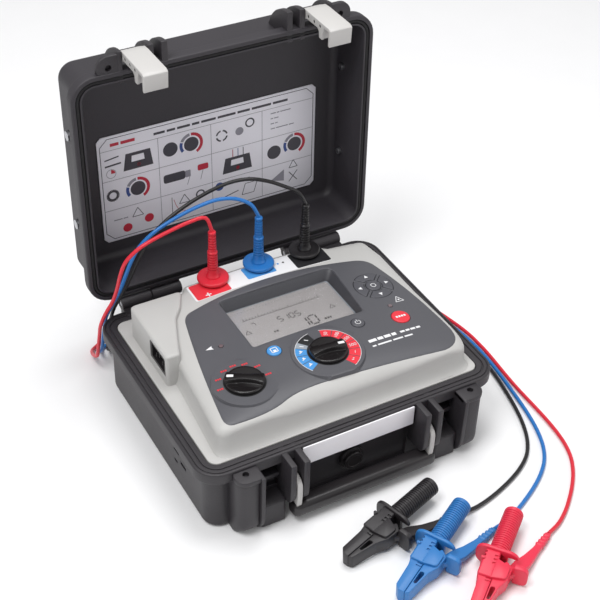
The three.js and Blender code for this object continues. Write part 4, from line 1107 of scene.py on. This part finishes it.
def build_recess(brow):
    """The well walls between the facia surface and the window, painted darker as the shade inside the well,
    with a thin light ring painted round the window as a highlight.
    """
    w = WINDOW
    low = rounded([(w["x0"], w["y0"], 3), (w["x1"], w["y0"], 3), (w["x1"], w["y1"], 3.5),
                   (w["x0"], w["y1"], 3)], 6)
    floor = w["z"] - 2.6
    levels = []
    for t in (k / 8 for k in range(9)):
        ring = []
        for (xa, ya), (xb, yb) in zip(brow, low):
            z_top = facia_height(xa, ya) - FACIA_EDGE_R
            ring.append((xa + (xb - xa) * t, ya + (yb - ya) * t, z_top + (floor - z_top) * t ** 1.1))
        levels.append(ring)
    mx, my = (w["x0"] + w["x1"]) / 2, (w["y0"] + w["y1"]) / 2
    outer = [[(mx + (x - mx) * 1.02, my + (y - my) * 1.03, z - 1.2) for x, y, z in ring]
             for ring in levels[::-1]]
    # the walls take the darker recess paint: painted shade inside the well
    piece("recess_walls", loft(levels + outer, close=True), "recess", "case")
    # painted highlight: a thin ring in light grey print paint round the window edge, where the light catches
    # it
    highlight_ring = [[(mx + (x - mx) * k, my + (y - my) * k, floor + lift) for x, y in low]
            for k, lift in ((0.999, 0.2), (0.999, 0.7), (0.988, 0.7), (0.985, 0.2))]
    piece("window_edge_highlight", loft(highlight_ring, close=True), "print_grey", "case")


def decal(outline, lift=0.1, thickness=0.25):
    """A printed mark that follows the facia surface."""
    return sheet(outline, lambda x, y: facia_height(x, y) + lift, thickness, spacing=4.0)


def panel_decal(outline, lift, thickness=0.3, spacing=3):
    """A printed mark that follows the light panel's surface, at a height above it."""
    return sheet(outline, lambda x, y: crown(x, y) + lift, thickness, spacing=spacing)


def around(place, radius, angle):
    """The point at an angle in degrees on a circle round a knob or key."""
    a = math.radians(angle)
    return place["x"] + radius * math.cos(a), place["y"] + radius * math.sin(a)


def build_scale():
    """The printed sectors round the voltage knob, with their values and small signs."""
    x, y = VOLTAGE["x"], VOLTAGE["y"]

    def sector(start, end):
        return ring_sector(x, y, SCALE_IN, SCALE_OUT, start, end, max(3, int(abs(end - start) / 6)))

    def border(start, end, steps):
        return decal(ring_sector(x, y, SCALE_OUT, SCALE_OUT + 0.5, start, end, steps))

    groups = {
        "red": [sector(RED_START - RED_STEP * k - SCALE_GAP, RED_START - RED_STEP * (k + 1) + SCALE_GAP)
                for k in range(6)],
        "blue": [sector(BLUE_START + BLUE_STEP * k + SCALE_GAP, BLUE_START + BLUE_STEP * (k + 1) - SCALE_GAP)
                 for k in range(3)],
        "print_grey": [sector(130.5, 145.3)],
        "print_black": [sector(100, 129.5)],
    }
    for key, outlines in groups.items():
        paint = key if key.startswith("print") else f"print_{key}"
        printed(f"scale_{key}", [decal(o) for o in outlines], paint)
    printed("scale_border", [border(78, -65, 24), border(214, 99, 20)], "white")

    marks = []
    for k, text in enumerate(("50", "100", "250", "500", "1", "5")):
        marks.append(numeral(text, x, y, SCALE_TEXT_R, RED_START - RED_STEP * (k + 0.5), 5.2))
    for k in range(3):
        cx, cy = around(VOLTAGE, SCALE_TEXT_R, BLUE_START + BLUE_STEP * (k + 0.5))
        marks += [decal(bar, 0.2) for bar in stroke([(cx - 2, cy - 1), (cx + 2, cy + 1)], 1.1)]
        marks.append(decal(circle(cx, cy + 1.6, 1, 10), 0.2))
    for angle in (115, 138):
        cx, cy = around(VOLTAGE, SCALE_TEXT_R, angle)
        marks += [decal(bar, 0.2) for bar in stroke([(cx - 1.6, cy + 1.2), (cx + 1.6, cy - 1.2)], 1)]
    printed("scale_marks", marks, "white")


def numeral(text, x, y, radius, angle, size):
    """Digits that read outward along a dial's radius."""
    curve = bpy.data.curves.new("numeral", "FONT")
    curve.body, curve.size = text, size
    curve.align_x, curve.align_y = "CENTER", "CENTER"
    curve.extrude = 0.12
    holder = bpy.data.objects.new("numeral", curve)
    bpy.context.scene.collection.objects.link(holder)
    mesh = bpy.data.meshes.new_from_object(holder.evaluated_get(bpy.context.evaluated_depsgraph_get()))
    made = bmesh.new()
    made.from_mesh(mesh)
    bpy.data.objects.remove(holder)
    bpy.data.meshes.remove(mesh)
    bpy.data.curves.remove(curve)
    bmesh.ops.remove_doubles(made, verts=made.verts, dist=1e-4)
    a = math.radians(angle)
    cx, cy = x + radius * math.cos(a), y + radius * math.sin(a)
    turn = angle if -90 <= angle <= 90 else angle + 180
    place = Matrix.Translation((cx, cy, facia_height(cx, cy) + 0.15))
    return turned(made, place @ turn_about("Z", turn))


def build_facia_print():
    """Small symbols and marks beside the keys and round the mode knob."""
    marks = []
    for angle in (178, 146, 116, 90, 63.5, 34.5, -1):
        cx, cy = around(MODE, 24.2, angle)
        marks += [decal(bar, 0.15) for bar in text_bars(cx - 3.2, cy - 1, [1.9, 1.4, 1.8], 2.1, 0.5)]
    printed("mode_marks", marks, "print_red")
    outlines = text_bars(46, -63, [8.5, 6, 7, 5], 3.8, 1.3)
    outlines += text_bars(81, -62.4, [5.2, 4.2, 5.4, 4.6], 2.6, 1.1)
    outlines += text_bars(46, -69.6, [4, 15, 11, 9], 2.0, 1.8)
    outlines.append([(-95, 0.4), (-87.5, -2.2), (-88.4, 0.4), (-87.5, 3)])
    outlines += stroke([(103, -19), (107.5, -11), (112, -19)], 0.8, closed=True)
    outlines.append(circle(107.5, -16.2, 1.1, 14))
    printed("facia_symbols", [decal(outline) for outline in outlines], "white")


# ---------------------------------------------------------------- display
def digit_bars(text, x, y, w, h, width, pitch):
    """A row of seven-segment digits."""
    bars = []
    for k, char in enumerate(text):
        left = x + pitch * k
        for name in DIGITS[char]:
            (xa, ya), (xb, yb) = SEGMENTS[name]
            bars += stroke([(left + xa * w, y + ya * h), (left + xb * w, y + yb * h)], width)
    return bars


def display_marks():
    """What the display shows: two numbers, two bar scales and small signs."""
    bars = digit_bars("10", 8, -3, 8, 13, 1.5, 11)
    bars += digit_bars("5105", -8, 15, 4.4, 7.4, 1.0, 6.4)
    for k in range(26):
        tall = 3 if k % 5 == 0 else 1.6
        bars += stroke([(-39 + 3.3 * k, 32), (-39 + 3.3 * k, 32 + tall)], 0.5)
    bars += stroke([(-41, 31.4), (46, 31.4)], 0.6)
    bars += stroke([(-35, 25), (-31, 25), (-31, 21)], 0.7)
    for k in range(30):
        bars += stroke([(-42 + 3.4 * k, 44), (-42 + 3.4 * k, 45.4)], 0.4)
    bars += stroke([(46, 11), (49, 16), (52, 11)], 0.6, closed=True)
    bars += stroke([(-46, 12), (-43, 17), (-40, 12)], 0.6, closed=True)
    bars += text_bars(-20, 3, [1.6, 2.2], 2.4, 1)
    return bars + text_bars(33, -2, [2.4, 2.0, 1.6], 2.6, 0.8)


def window_plate(grow, r, z0, z1, bevel):
    """A flat plate over the window, larger than it all round."""
    w = WINDOW
    return prism(rectangle(w["x0"] - grow, w["y0"] - grow, w["x1"] + grow, w["y1"] + grow, r), z0, z1, bevel)


def build_display():
    """The liquid-crystal panel with its marks, and the clear cover over it."""
    z = WINDOW["z"] - 2.7
    panel = window_plate(3, 1, z - 6, z, 0.3)
    piece("display_panel", panel, "display", "case", ["display_module"])
    segments = merged(*[prism(anticlockwise(bar), z - 0.05, z + 0.06) for bar in display_marks()])
    piece("display_segments", segments, "ink", "case")
    lens = window_plate(2, 2, z + 0.4, z + 2.3, 0.2)
    piece("window_lens", lens, "window", "case", ["display_window"])


# ---------------------------------------------------------------- knobs and keys
def bar_half(u, r):
    """Half the width of the grip bar: it flares toward its two ends."""
    return 3.3 + 3.4 * (u / r) ** 2


def knob_surface(u, v, r):
    """Height of the knob's top: a domed grip bar with a scoop on each side."""
    dome = KNOB_H - 0.9 * (u / r) ** 2 - 0.3 * (v / 5) ** 2
    beside = abs(v) - bar_half(u, r)
    floor = 2.3 + 1.1 * max(0, beside / (r - 3))
    t = max(0, min(1, beside / 1.1))
    return dome + (floor - dome) * t * t * (3 - 2 * t)


def build_knob(name, place):
    """A round knob with a grip bar across it and a white pointer at one end."""
    r, x, y = place["r"], place["x"], place["y"]

    def height(u, v):
        return knob_surface(u, v, r) - rolled(max(0, r - math.hypot(u, v)), 1.3)

    guides = [circle(0, 0, r * k, 60) for k in (0.995, 0.98, 0.955)]
    for off in (-0.5, 0.05, 0.35, 0.75, 1.15):
        along = [0.9 * r * (k / 10 - 1) for k in range(21)]
        side = [(u, bar_half(u, r) + off) for u in along]
        guides.append(side[::-1] + [(u, -v) for u, v in side])
    top = sheet(circle(0, 0, r, 60), height, 2.2, guides=guides, spacing=1.3)
    for v in top.verts:
        if v.co.z < height(v.co.x, v.co.y) - 1:
            v.co.z = 0.2
    turn = Matrix.Translation((x, y, place["pad_z"] + 0.4)) @ turn_about("Z", place["pointer"])
    piece(f"{name}_cap", turned(top, turn), "knob", name, [name], flat_angle=50)
    tip = rectangle(r - 8.2, -1.6, r - 1.9, 1.6, 0.5)
    pointer = sheet(tip, lambda u, v: knob_surface(u, v, r) + 0.12, 0.3, spacing=1.5)
    printed(f"{name}_pointer", [turned(pointer, turn)], "white", name)


def domed(outline, x, y, r, lift, edge=1.0, spacing=2.0):
    """A key cap: it stands proud of the facia with a rolled edge."""
    ring = anticlockwise(outline)
    guides = [inset_outline(split_long_edges(ring, spacing), d) for d in (0.12, 0.4, 0.8)]

    def height(px, py):
        crest = 0.25 * (1 - min(1, math.hypot(px - x, py - y) / r) ** 2)
        return crown(px, py) + FACIA_PROUD + lift + crest - rolled(edge_distance((px, py), ring), edge)

    return sheet(ring, height, 4, guides=guides, spacing=spacing)


def build_keys():
    """The round keys, the four curved arrow keys, and the print on them."""
    paints = {"save_button": ("print_blue", "key_blue"), "power_button": ("key_grey", "key_grey"),
              "test_button": ("print_red", "key_red"), "ok_button": ("key_grey", "key_grey")}
    for name, key in KEYS.items():
        paint, slot = paints[name]
        x, y, r = key["x"], key["y"], key["r"]
        piece(f"{name}_cap", domed(circle(x, y, r, 40), x, y, r, 0.7), paint, name, [name])
    for i, name in enumerate(("nav_right", "nav_up", "nav_left", "nav_down")):
        cap = domed(nav_outline(i, 0), NAV["x"], NAV["y"], NAV["r_out"], 0.45, 0.7)
        piece(f"{name}_cap", cap, "key_grey", name, [name])
        a = math.radians(90 * i)
        cx, cy = around(NAV, 15, 90 * i)
        arrow = [(cx + 2.6 * math.cos(a + t), cy + 2.6 * math.sin(a + t)) for t in (0, 2.2, -2.2)]
        printed(f"{name}_mark", [panel_decal(anticlockwise(arrow), 1.25)], "white", name)
    for name, outlines in key_signs().items():
        printed(f"{name}_mark", [panel_decal(outline, 1.42) for outline in outlines], "white", name)


def key_signs():
    """The sign on each round key: a ring, a power sign, a disk and a row of bars."""
    signs = {"ok_button": stroke(circle(NAV["x"], NAV["y"], 2.6, 16), 0.8, closed=True)}
    x, y = KEYS["power_button"]["x"], KEYS["power_button"]["y"]
    signs["power_button"] = stroke(arc(x, y, 2.7, 120, 420, 16), 0.7)
    signs["power_button"] += stroke([(x, y + 3.8), (x, y + 0.6)], 0.7)
    x, y = KEYS["save_button"]["x"], KEYS["save_button"]["y"]
    signs["save_button"] = stroke(rectangle(x - 3, y - 3, x + 3, y + 3), 0.9, closed=True)
    signs["save_button"].append(rectangle(x - 1.5, y - 2.6, x + 1.5, y))
    x, y = KEYS["test_button"]["x"], KEYS["test_button"]["y"]
    signs["test_button"] = text_bars(x - 5.4, y - 1.2, [2.2, 2.2, 2.2, 2.2], 2.6, 0.7)
    return signs


# ---------------------------------------------------------------- terminal area
def build_terminals():
    """Coloured squares under the plugs, and the pale strip behind them."""
    pads = {
        "terminal_strip": (-72, 68, 80, 93, "white", 0.12),
        "pad_red": (-70, 68.5, -33, 92.5, "print_red", 0.3),
        "pad_blue": (-12, 74, 20, 92.5, "print_blue", 0.3),
        "pad_black": (41, 68.5, 80, 92.5, "print_black", 0.3),
    }
    for name, (x0, y0, x1, y1, paint, lift) in pads.items():
        printed(name, [panel_decal(rectangle(x0, y0, x1, y1, 2), lift, 0.4, 5)], paint)
    plus = stroke([(-60, 72), (-54, 72)], 1.4) + stroke([(-57, 69), (-57, 75)], 1.4)
    printed("plus_mark", [panel_decal(bar, 0.4) for bar in plus], "white")
    for name, x in (("blue", 26), ("black", 32)):
        printed(f"dot_{name}", [panel_decal(circle(x, 84, 1.2, 14), 0.25)], f"print_{name}")


# ---------------------------------------------------------------- handle and latches
def build_handle():
    """The round-edged grip bar and the two arms that carry it."""
    low, high = (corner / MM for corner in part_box("handle_grip"))
    x0, y0, z0 = low
    x1, y1, z1 = high
    section = rounded([(y0, z0 + 1, 6), (y1, z0, 5), (y1, z1, 4), (y0 + 1, z1, 6)], 7)
    cy, cz = (y0 + y1) / 2, (z0 + z1) / 2
    ends = ((0, 0.72), (0.8, 0.86), (2.4, 0.96), (5, 1))
    stations = [(x0 + d, scale) for d, scale in ends] + [(x1 - d, scale) for d, scale in ends[::-1]]
    grip = loft([[(x, cy + (y - cy) * scale, cz + (z - cz) * scale) for y, z in section]
                 for x, scale in stations])
    grip = cut(grip, *[block(*span(side, 68.1, 73.9), -143.4, -120, 9.7, 30) for side, _ in SIDES])
    piece("grip_body", grip, "grip", "handle", ["handle_grip"], flat_angle=40)
    y, z = HANDLE_PIVOT
    arm = [(y + 5, 12), (y + 5, z - 8)] + arc(y, z, 10.5, -51, 174, 20)
    arm += [(-144, 33), (-143, 22), (-141.5, 12)]
    arms = merged(*[along_x(arm, *span(side, 68.4, 73.6), 0.8, 3) for side, _ in SIDES])
    piece("handle_arms", arms, "latch", "handle", ["handle_frame"])


def build_latch(side, word):
    """The over-centre latch: a broad face plate with a hooked lip, two cheeks with three cross
    holes, and a link with pins inside it, near-black as painted shade in the channel and the holes."""
    a, b = span(side, *LATCH_X)
    plate = [(-139.6, 30.6), (-122.8, 32), (-123.2, 34.8), (-137.4, 34.6), (-138.2, 74), (-134.5, 80),
             (-128, 84), (-128, 92), (-136, 92), (-141.6, 80), (-142, 74), (-141.4, 34)]
    cheek = [(-141, 82), (-133.5, 82), (-133.5, 55), (-131, 52), (-124.8, 51.5), (-124.8, 46), (-131, 45.6),
             (-136.4, 43), (-141, 43)]
    hub = rod((a, *LATCH_PIVOT), (b, *LATCH_PIVOT), 5.4, 28, 0.6)
    cheeks = [along_x(cheek, x, x + 2.6, 0.4) for x in (a, b - 2.6)]
    made = joined(along_x(plate, a, b, 0.7, 3), hub, *cheeks, block(a, b, -140, -125.2, 46.5, 49, 0.3))
    y, r = LATCH_HOLE_Y, LATCH_HOLE_R
    holes = [rod((end - 3.4, y, z), (end + 3.4, y, z), r, 16) for z in LATCH_HOLES_Z for end in (a, b)]
    made = cut(made, *holes, rod((a - 2, *LATCH_PIVOT), (b + 2, *LATCH_PIVOT), 2.4, 20))
    name = f"latch_{word}"
    piece(f"{name}_plate", made, "latch", name, [name], shut=True)
    # painted shade: a near-black block in the channel and pins just inside the holes, where the inside of the
    # latch is in shadow
    link = [block(a + 2.8, b - 2.8, -138, -134.6, 48, 78, 0.4)]
    for z in LATCH_HOLES_Z:
        for x0, x1 in ((a + 0.3, a + 3.2), (b - 3.2, b - 0.3)):
            link.append(rod((x0, y, z), (x1, y, z), r - 0.05, 16))
    piece(f"{name}_link", merged(*link), "painted_gap_shade", name, shut=True)


def build_front():
    """The blank plate and the pressure valve on the front wall."""
    low, high = (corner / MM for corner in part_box("front_plate"))
    plate = along_y(rectangle(low.x, low.z, high.x, high.z, 1), low.y, high.y, 0.5, 3)
    piece("plate_blank", plate, "plate", "case", ["front_plate"])
    profile = [(0, 0), (12.6, 0), (12.6, 3.2), (12.2, 3.8), (10.4, 4), (10.2, 7.2), (9.6, 8), (7, 8.2),
               (6.6, 7.6), (0, 7.4)]
    notches = [rod((x, y, 4.1), (x, y, 9), 1.1, 10) for x, y in circle(0, 0, 10.9, 12)]
    valve = cut(lathe(profile, 40), *notches)
    facing = Matrix.Translation((0, WALL_Y - 0.4, 24.8)) @ turn_about("X", 90)
    piece("valve_knob", turned(valve, facing), "grip", "case", ["relief_valve"])


# ---------------------------------------------------------------- test leads
def ribs(z, count, r, taper, depth):
    """Rings moulded round a sleeve, as points of its profile. Each is a little smaller."""
    points = []
    for k in range(count):
        outer, base = r - taper * k, z + 3.0 * k
        points += [(outer, base), (outer, base + 1.7)]
        points += [(outer - depth, base + 1.9), (outer - depth, base + 2.8)]
    return points


def boot_profile():
    """Ribbed strain relief: a wide foot, a thick ribbed stage and a thin ribbed stage."""
    profile = [(0, 0), (7.4, 0), (7.2, 1.2), (6.1, 2.6), (5.5, 5)]
    profile += ribs(7.0, 7, 5.25, 0.05, 1.1)
    profile += [(5.1, 28.4), (5.1, 29.8), (4.2, 30.8)]
    profile += ribs(32.0, 6, 4.1, 0.06, 1.0)
    profile += [(3.7, 50.4), (3.9, 50.8), (3.9, 53), (3.1, BOOT_H), (0, BOOT_H)]
    return profile


def centre_line(node, start):
    """The middle of each ring of a swept CAD tube, in order from the end near start, in mm."""
    made = bmesh.new()
    made.from_mesh(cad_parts[node].data)
    bmesh.ops.remove_doubles(made, verts=made.verts, dist=1e-6)
    sides = 6
    first = sorted(made.verts, key=lambda v: (v.co - Vector(start) * MM).length)[:sides]
    seen, ring, middles = set(first), first, []
    while ring:
        middles.append(sum((v.co for v in ring), Vector()) / len(ring) / MM)
        ring = {e.other_vert(v) for v in ring for e in v.link_edges} - seen
        seen |= ring
    made.free()
    return middles


def build_lead(colour):
    """A plug with its disc, pin and ribbed boot, and the cable from there to the clip. The
    cable's upper part rides with the plug, the lower part rests on the floor behind the case."""
    x, top = SOCKET_X[colour], crown(SOCKET_X[colour], SOCKET_Y) + 1 + 0.4 + DISC_T
    body, slot, paint = f"plug_{colour}", f"lead_{colour}", f"lead_{colour}"
    disc = [(0, 0), (13.6, 0), (14.6, 0.5), (DISC_R, 1.4), (DISC_R, 3.1), (15.4, 3.9), (14.2, 4.3),
            (9, DISC_T), (0, DISC_T)]
    low = top - DISC_T
    piece(f"disc_{colour}", lathe(disc, 64, (x, SOCKET_Y, low)), paint, body, [f"plug_{colour}"])
    pin = rod((x, SOCKET_Y, low - 20), (x, SOCKET_Y, low + 1), 2, 20, 0.4)
    piece(f"pin_{colour}", pin, "steel", body)
    boot = lathe(boot_profile(), 40, (x, SOCKET_Y, top))
    sleeve = piece(f"sleeve_{colour}", boot, paint, body, [f"boot_{colour}"], flat_angle=28)
    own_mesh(sleeve)

    line = centre_line(f"cable_{colour}", (x, SOCKET_Y, top + BOOT_H))
    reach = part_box("cable_red")[1].x / MM - CABLE_R
    line = [Vector((min(p.x, reach), p.y, max(p.z, CABLE_R))) for p in smooth_path(line)]
    split = next(i for i, p in enumerate(line) if p.z < CABLE_JOIN_Z)
    upper = tube([line[0] - Vector((0, 0, 3))] + line[:split + 1], CABLE_R, CABLE_SIDES)
    upper = piece(f"cable_upper_{colour}", upper, paint, body, [f"cable_{colour}"])
    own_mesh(upper)
    lower = piece(f"cable_lower_{colour}", tube(line[split:], CABLE_R, CABLE_SIDES), paint, None)
    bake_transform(lower)


def clip_place(colour):
    """Where a clip lies: from its own axes, with the tip at the origin, to the floor."""
    x, y, turn = CLIPS[colour]
    return Matrix.Translation((x, y, CLIP_TIP_Z)) @ turn_about("Z", turn) @ turn_about("Y", -CLIP_TILT)


def clip_handle():
    """The ribbed round handle, its oval guard and the long jaw, drawn along +X from the tip."""
    profile = [(0, 0), (8.8, 0)]
    for k in range(21):
        z = 1 + 2.5 * k
        profile += [(8.1, z), (9.1, z + 0.25), (9.1, z + 1.45), (8.1, z + 1.7)]
    profile += [(9.0, 54), (8.6, 55.2), (7.6, 56), (0, 56)]
    along = Matrix.Translation((62, 0.5, 0)) @ turn_about("Y", 90)
    oval = rounded([(-20, -13, 11), (20, -13, 11), (20, 13, 11), (-20, 13, 11)], 8)
    guard = cut(along_x(oval, 62, 65.5, 1.2, 3), block(60, 68, -25, -9.4, -9, 6.5))
    return turned(lathe(profile, 40), along), guard


def clip_jaw():
    """The long fixed jaw with its grip notches, and the ribbed shoulder behind it."""
    outline = rounded([(0, -3, 0), (60, -3, 0), (60, 9, 2), (38, 10.5, 3), (28, 8, 3), (4, 7, 3), (0, 3, 1)])
    jaw = prism(outline, -8, 8, 0.6, 2)
    jaw = cut(jaw, *[block(30 + 3 * k, 31.2 + 3 * k, -6, 2, *span(side, 7, 9))
                     for side, _ in SIDES for k in range(3)])
    shoulder = prism(rectangle(34, -3, 63, 10.5, 2), -10.5, 10.5, 1.5, 3)
    for x in (48, 52, 56):
        shoulder = cut(shoulder, block(x + 2, x + 4, 8.6, 12, -12, 12), block(x, x + 2, -4, 1, 9.2, 12))
    return joined(jaw, shoulder)


def clip_ears():
    """The two ears that hold the lever, and their pin."""
    ear = rounded([(34, -1, 0), (37, -15, 4), (51, -15, 4), (56, -1, 0)])
    ears = [prism(ear, z0, z0 + 4, 0.7, 2) for z0 in (6.2, -10.2)]
    return merged(*ears, rod((44, -9, -8), (44, -9, 8), 1.8, 16))


def clip_arm():
    """The lever: lower jaw with its opening, thumb lobe and tapering tail."""
    jaw = prism(rounded([(0, -3.3, 0), (2, -7, 2), (28, -11.5, 4), (38, -16, 3), (52, -17, 3), (58, -9.5, 2),
                         (40, -3.4, 2)]), -7.5, 7.5, 0.6, 2)
    opening = prism(rounded([(13, -7.4, 1.6), (27, -9.4, 2.4), (27, -4.6, 2.2), (13, -4.6, 1.3)]), -9, 9)
    jaw = cut(jaw, opening)
    rings = []
    stations = [(46, -12.5, 3.5, 3.4), (56, -18, 6, 3.4), (68, -21.5, 7, 3.3), (80, -25, 5.2, 3.2),
                (92, -28, 3.6, 3.0), (104, -31, 3.1, 2.8), (116, -33, 2.7, 2.6)]
    for x, y, half_w, half_t in stations:
        near = min(1, max(0, (x - 50) / 30))
        far = min(1, max(0, (x - 80) / 36))
        z = -(9 * near + 4.6 * far)
        section = rounded([(-half_w, -half_t, 1.6), (half_w, -half_t, 1.6), (half_w, half_t, 1.6),
                           (-half_w, half_t, 1.6)], 3)
        rings.append([(x, y + v, z + t) for v, t in section])
    tail = loft(rings)
    lobe = along_x(rounded([(-31, -11, 7), (-17.4, -11, 2), (-17.4, 11, 2), (-31, 11, 7)], 7), 50, 55, 1, 3)
    collar = []
    for k in range(4):
        x = 98 + 4.4 * k
        y, z = -29.6 - 0.22 * 4.4 * k, -(9 + 4.6 * (x - 80) / 36)
        half = 3.9 - 0.25 * k
        collar.append(along_x(rectangle(y - half, z - 3.1, y + half, z + 3.1, 1.4, 3), x, x + 2.4, 0.5))
    return merged(jaw, tail, lobe, *collar)


def build_clip(colour):
    """A crocodile clip: the grip with its jaw, which moves, and the lever, which lies still."""
    place = clip_place(colour)
    slot, paint = f"lead_{colour}", f"clip_{colour}"
    handle, guard = clip_handle()
    grip = f"clip_grip_{colour}"
    piece(f"clip_handle_{colour}", turned(handle, place), paint, grip, [grip], flat_angle=28)
    for word, made in (("guard", guard), ("jaw", clip_jaw()), ("ears", clip_ears())):
        piece(f"clip_{word}_{colour}", turned(made, place), paint, grip)
    piece(f"clip_lever_{colour}", turned(clip_arm(), place), paint, "case", [f"clip_arm_{colour}"])


# ---------------------------------------------------------------- carried-over CAD nodes
def paint_cad_nodes():
    """The nodes whose CAD shape is right keep it and take a finished material."""
    paints = {
        "hinge_pin": "steel", "latch_pin": "steel", "handle_pin": "steel", "lid_stud": "steel",
        "terminal": "brass", "main_board": "board", "high_voltage_module": "module", "battery_pack": "module",
        "voltage_switch": "module", "mode_switch": "module", "mains_inlet": "grip", "charge_led": "lens",
        "high_voltage_led": "lens",
    }
    for name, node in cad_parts.items():
        key = next((paints[k] for k in paints if name.startswith(k)), None)
        if key is None:
            continue
        node.data.materials.clear()
        node.data.materials.append(PAINT[key])


# ---------------------------------------------------------------- stage, light and camera
def build_stage():
    """A wide pale floor, just below the object."""
    size = 6.0
    corners = [(-size, -size, 0), (size, -size, 0), (size, size, 0), (-size, size, 0)]
    mesh = bpy.data.meshes.new("floor")
    mesh.from_pydata(corners, [], [(0, 1, 2, 3)])
    mesh.materials.append(plastic("floor_pale", (244, 244, 245), 0.7, 0.02, 3, 0.01, 0))
    floor = bpy.data.objects.new("floor", mesh)
    bpy.context.scene.collection.objects.link(floor)
    floor.location.z = -0.0004


def area_light(name, place, power, size):
    """A round soft light that looks at the middle of the object."""
    light = bpy.data.lights.new(name, "AREA")
    light.shape, light.size, light.energy = "DISK", size, power
    holder = bpy.data.objects.new(name, light)
    holder.location = place
    holder.rotation_euler = (Vector((0, 0, 0.1)) - Vector(place)).to_track_quat("-Z", "Y").to_euler()
    bpy.context.scene.collection.objects.link(holder)


def build_light():
    """Even white surroundings with a key light at the left, a weak fill and a top light."""
    world = bpy.data.worlds.new("studio")
    world.use_nodes = True
    set_inputs(world.node_tree, world.node_tree.nodes["Background"], {"Color": (1, 1, 1, 1), "Strength": 0.5})
    bpy.context.scene.world = world
    area_light("key", (-0.85, -0.3, 1.8), 19, 0.9)
    area_light("fill", (1.3, -1.1, 0.9), 4.5, 1.2)
    area_light("top", (0.25, 0.25, 1.9), 15, 1.0)
    bpy.context.scene.view_settings.view_transform = "Standard"


def build_camera():
    """The standard viewpoint, by azimuth, elevation and roll, with its own place and lens."""
    azimuth, elevation, roll = -29.87, 38.8, 1.7
    camera = bpy.data.cameras.new("camera")
    camera.sensor_width, camera.lens = 36, 80.7
    holder = bpy.data.objects.new("camera", camera)
    turn = turn_about("Z", azimuth) @ turn_about("X", 90 - elevation) @ turn_about("Z", roll)
    holder.matrix_world = Matrix.Translation((-0.4918, -0.865, 0.93292)) @ turn
    bpy.context.scene.collection.objects.link(holder)
    bpy.context.scene.camera = holder


# ---------------------------------------------------------------- build everything
build_base()
build_lid()
build_label()
build_panel()
build_facia()
build_scale()
build_facia_print()
build_display()
build_knob("voltage_knob", VOLTAGE)
build_knob("mode_knob", MODE)
build_keys()
build_terminals()
build_handle()
for side, word in SIDES:
    build_latch(side, word)
build_front()
for colour in COLOURS:
    build_lead(colour)
    build_clip(colour)
paint_cad_nodes()
build_stage()
build_light()
build_camera()
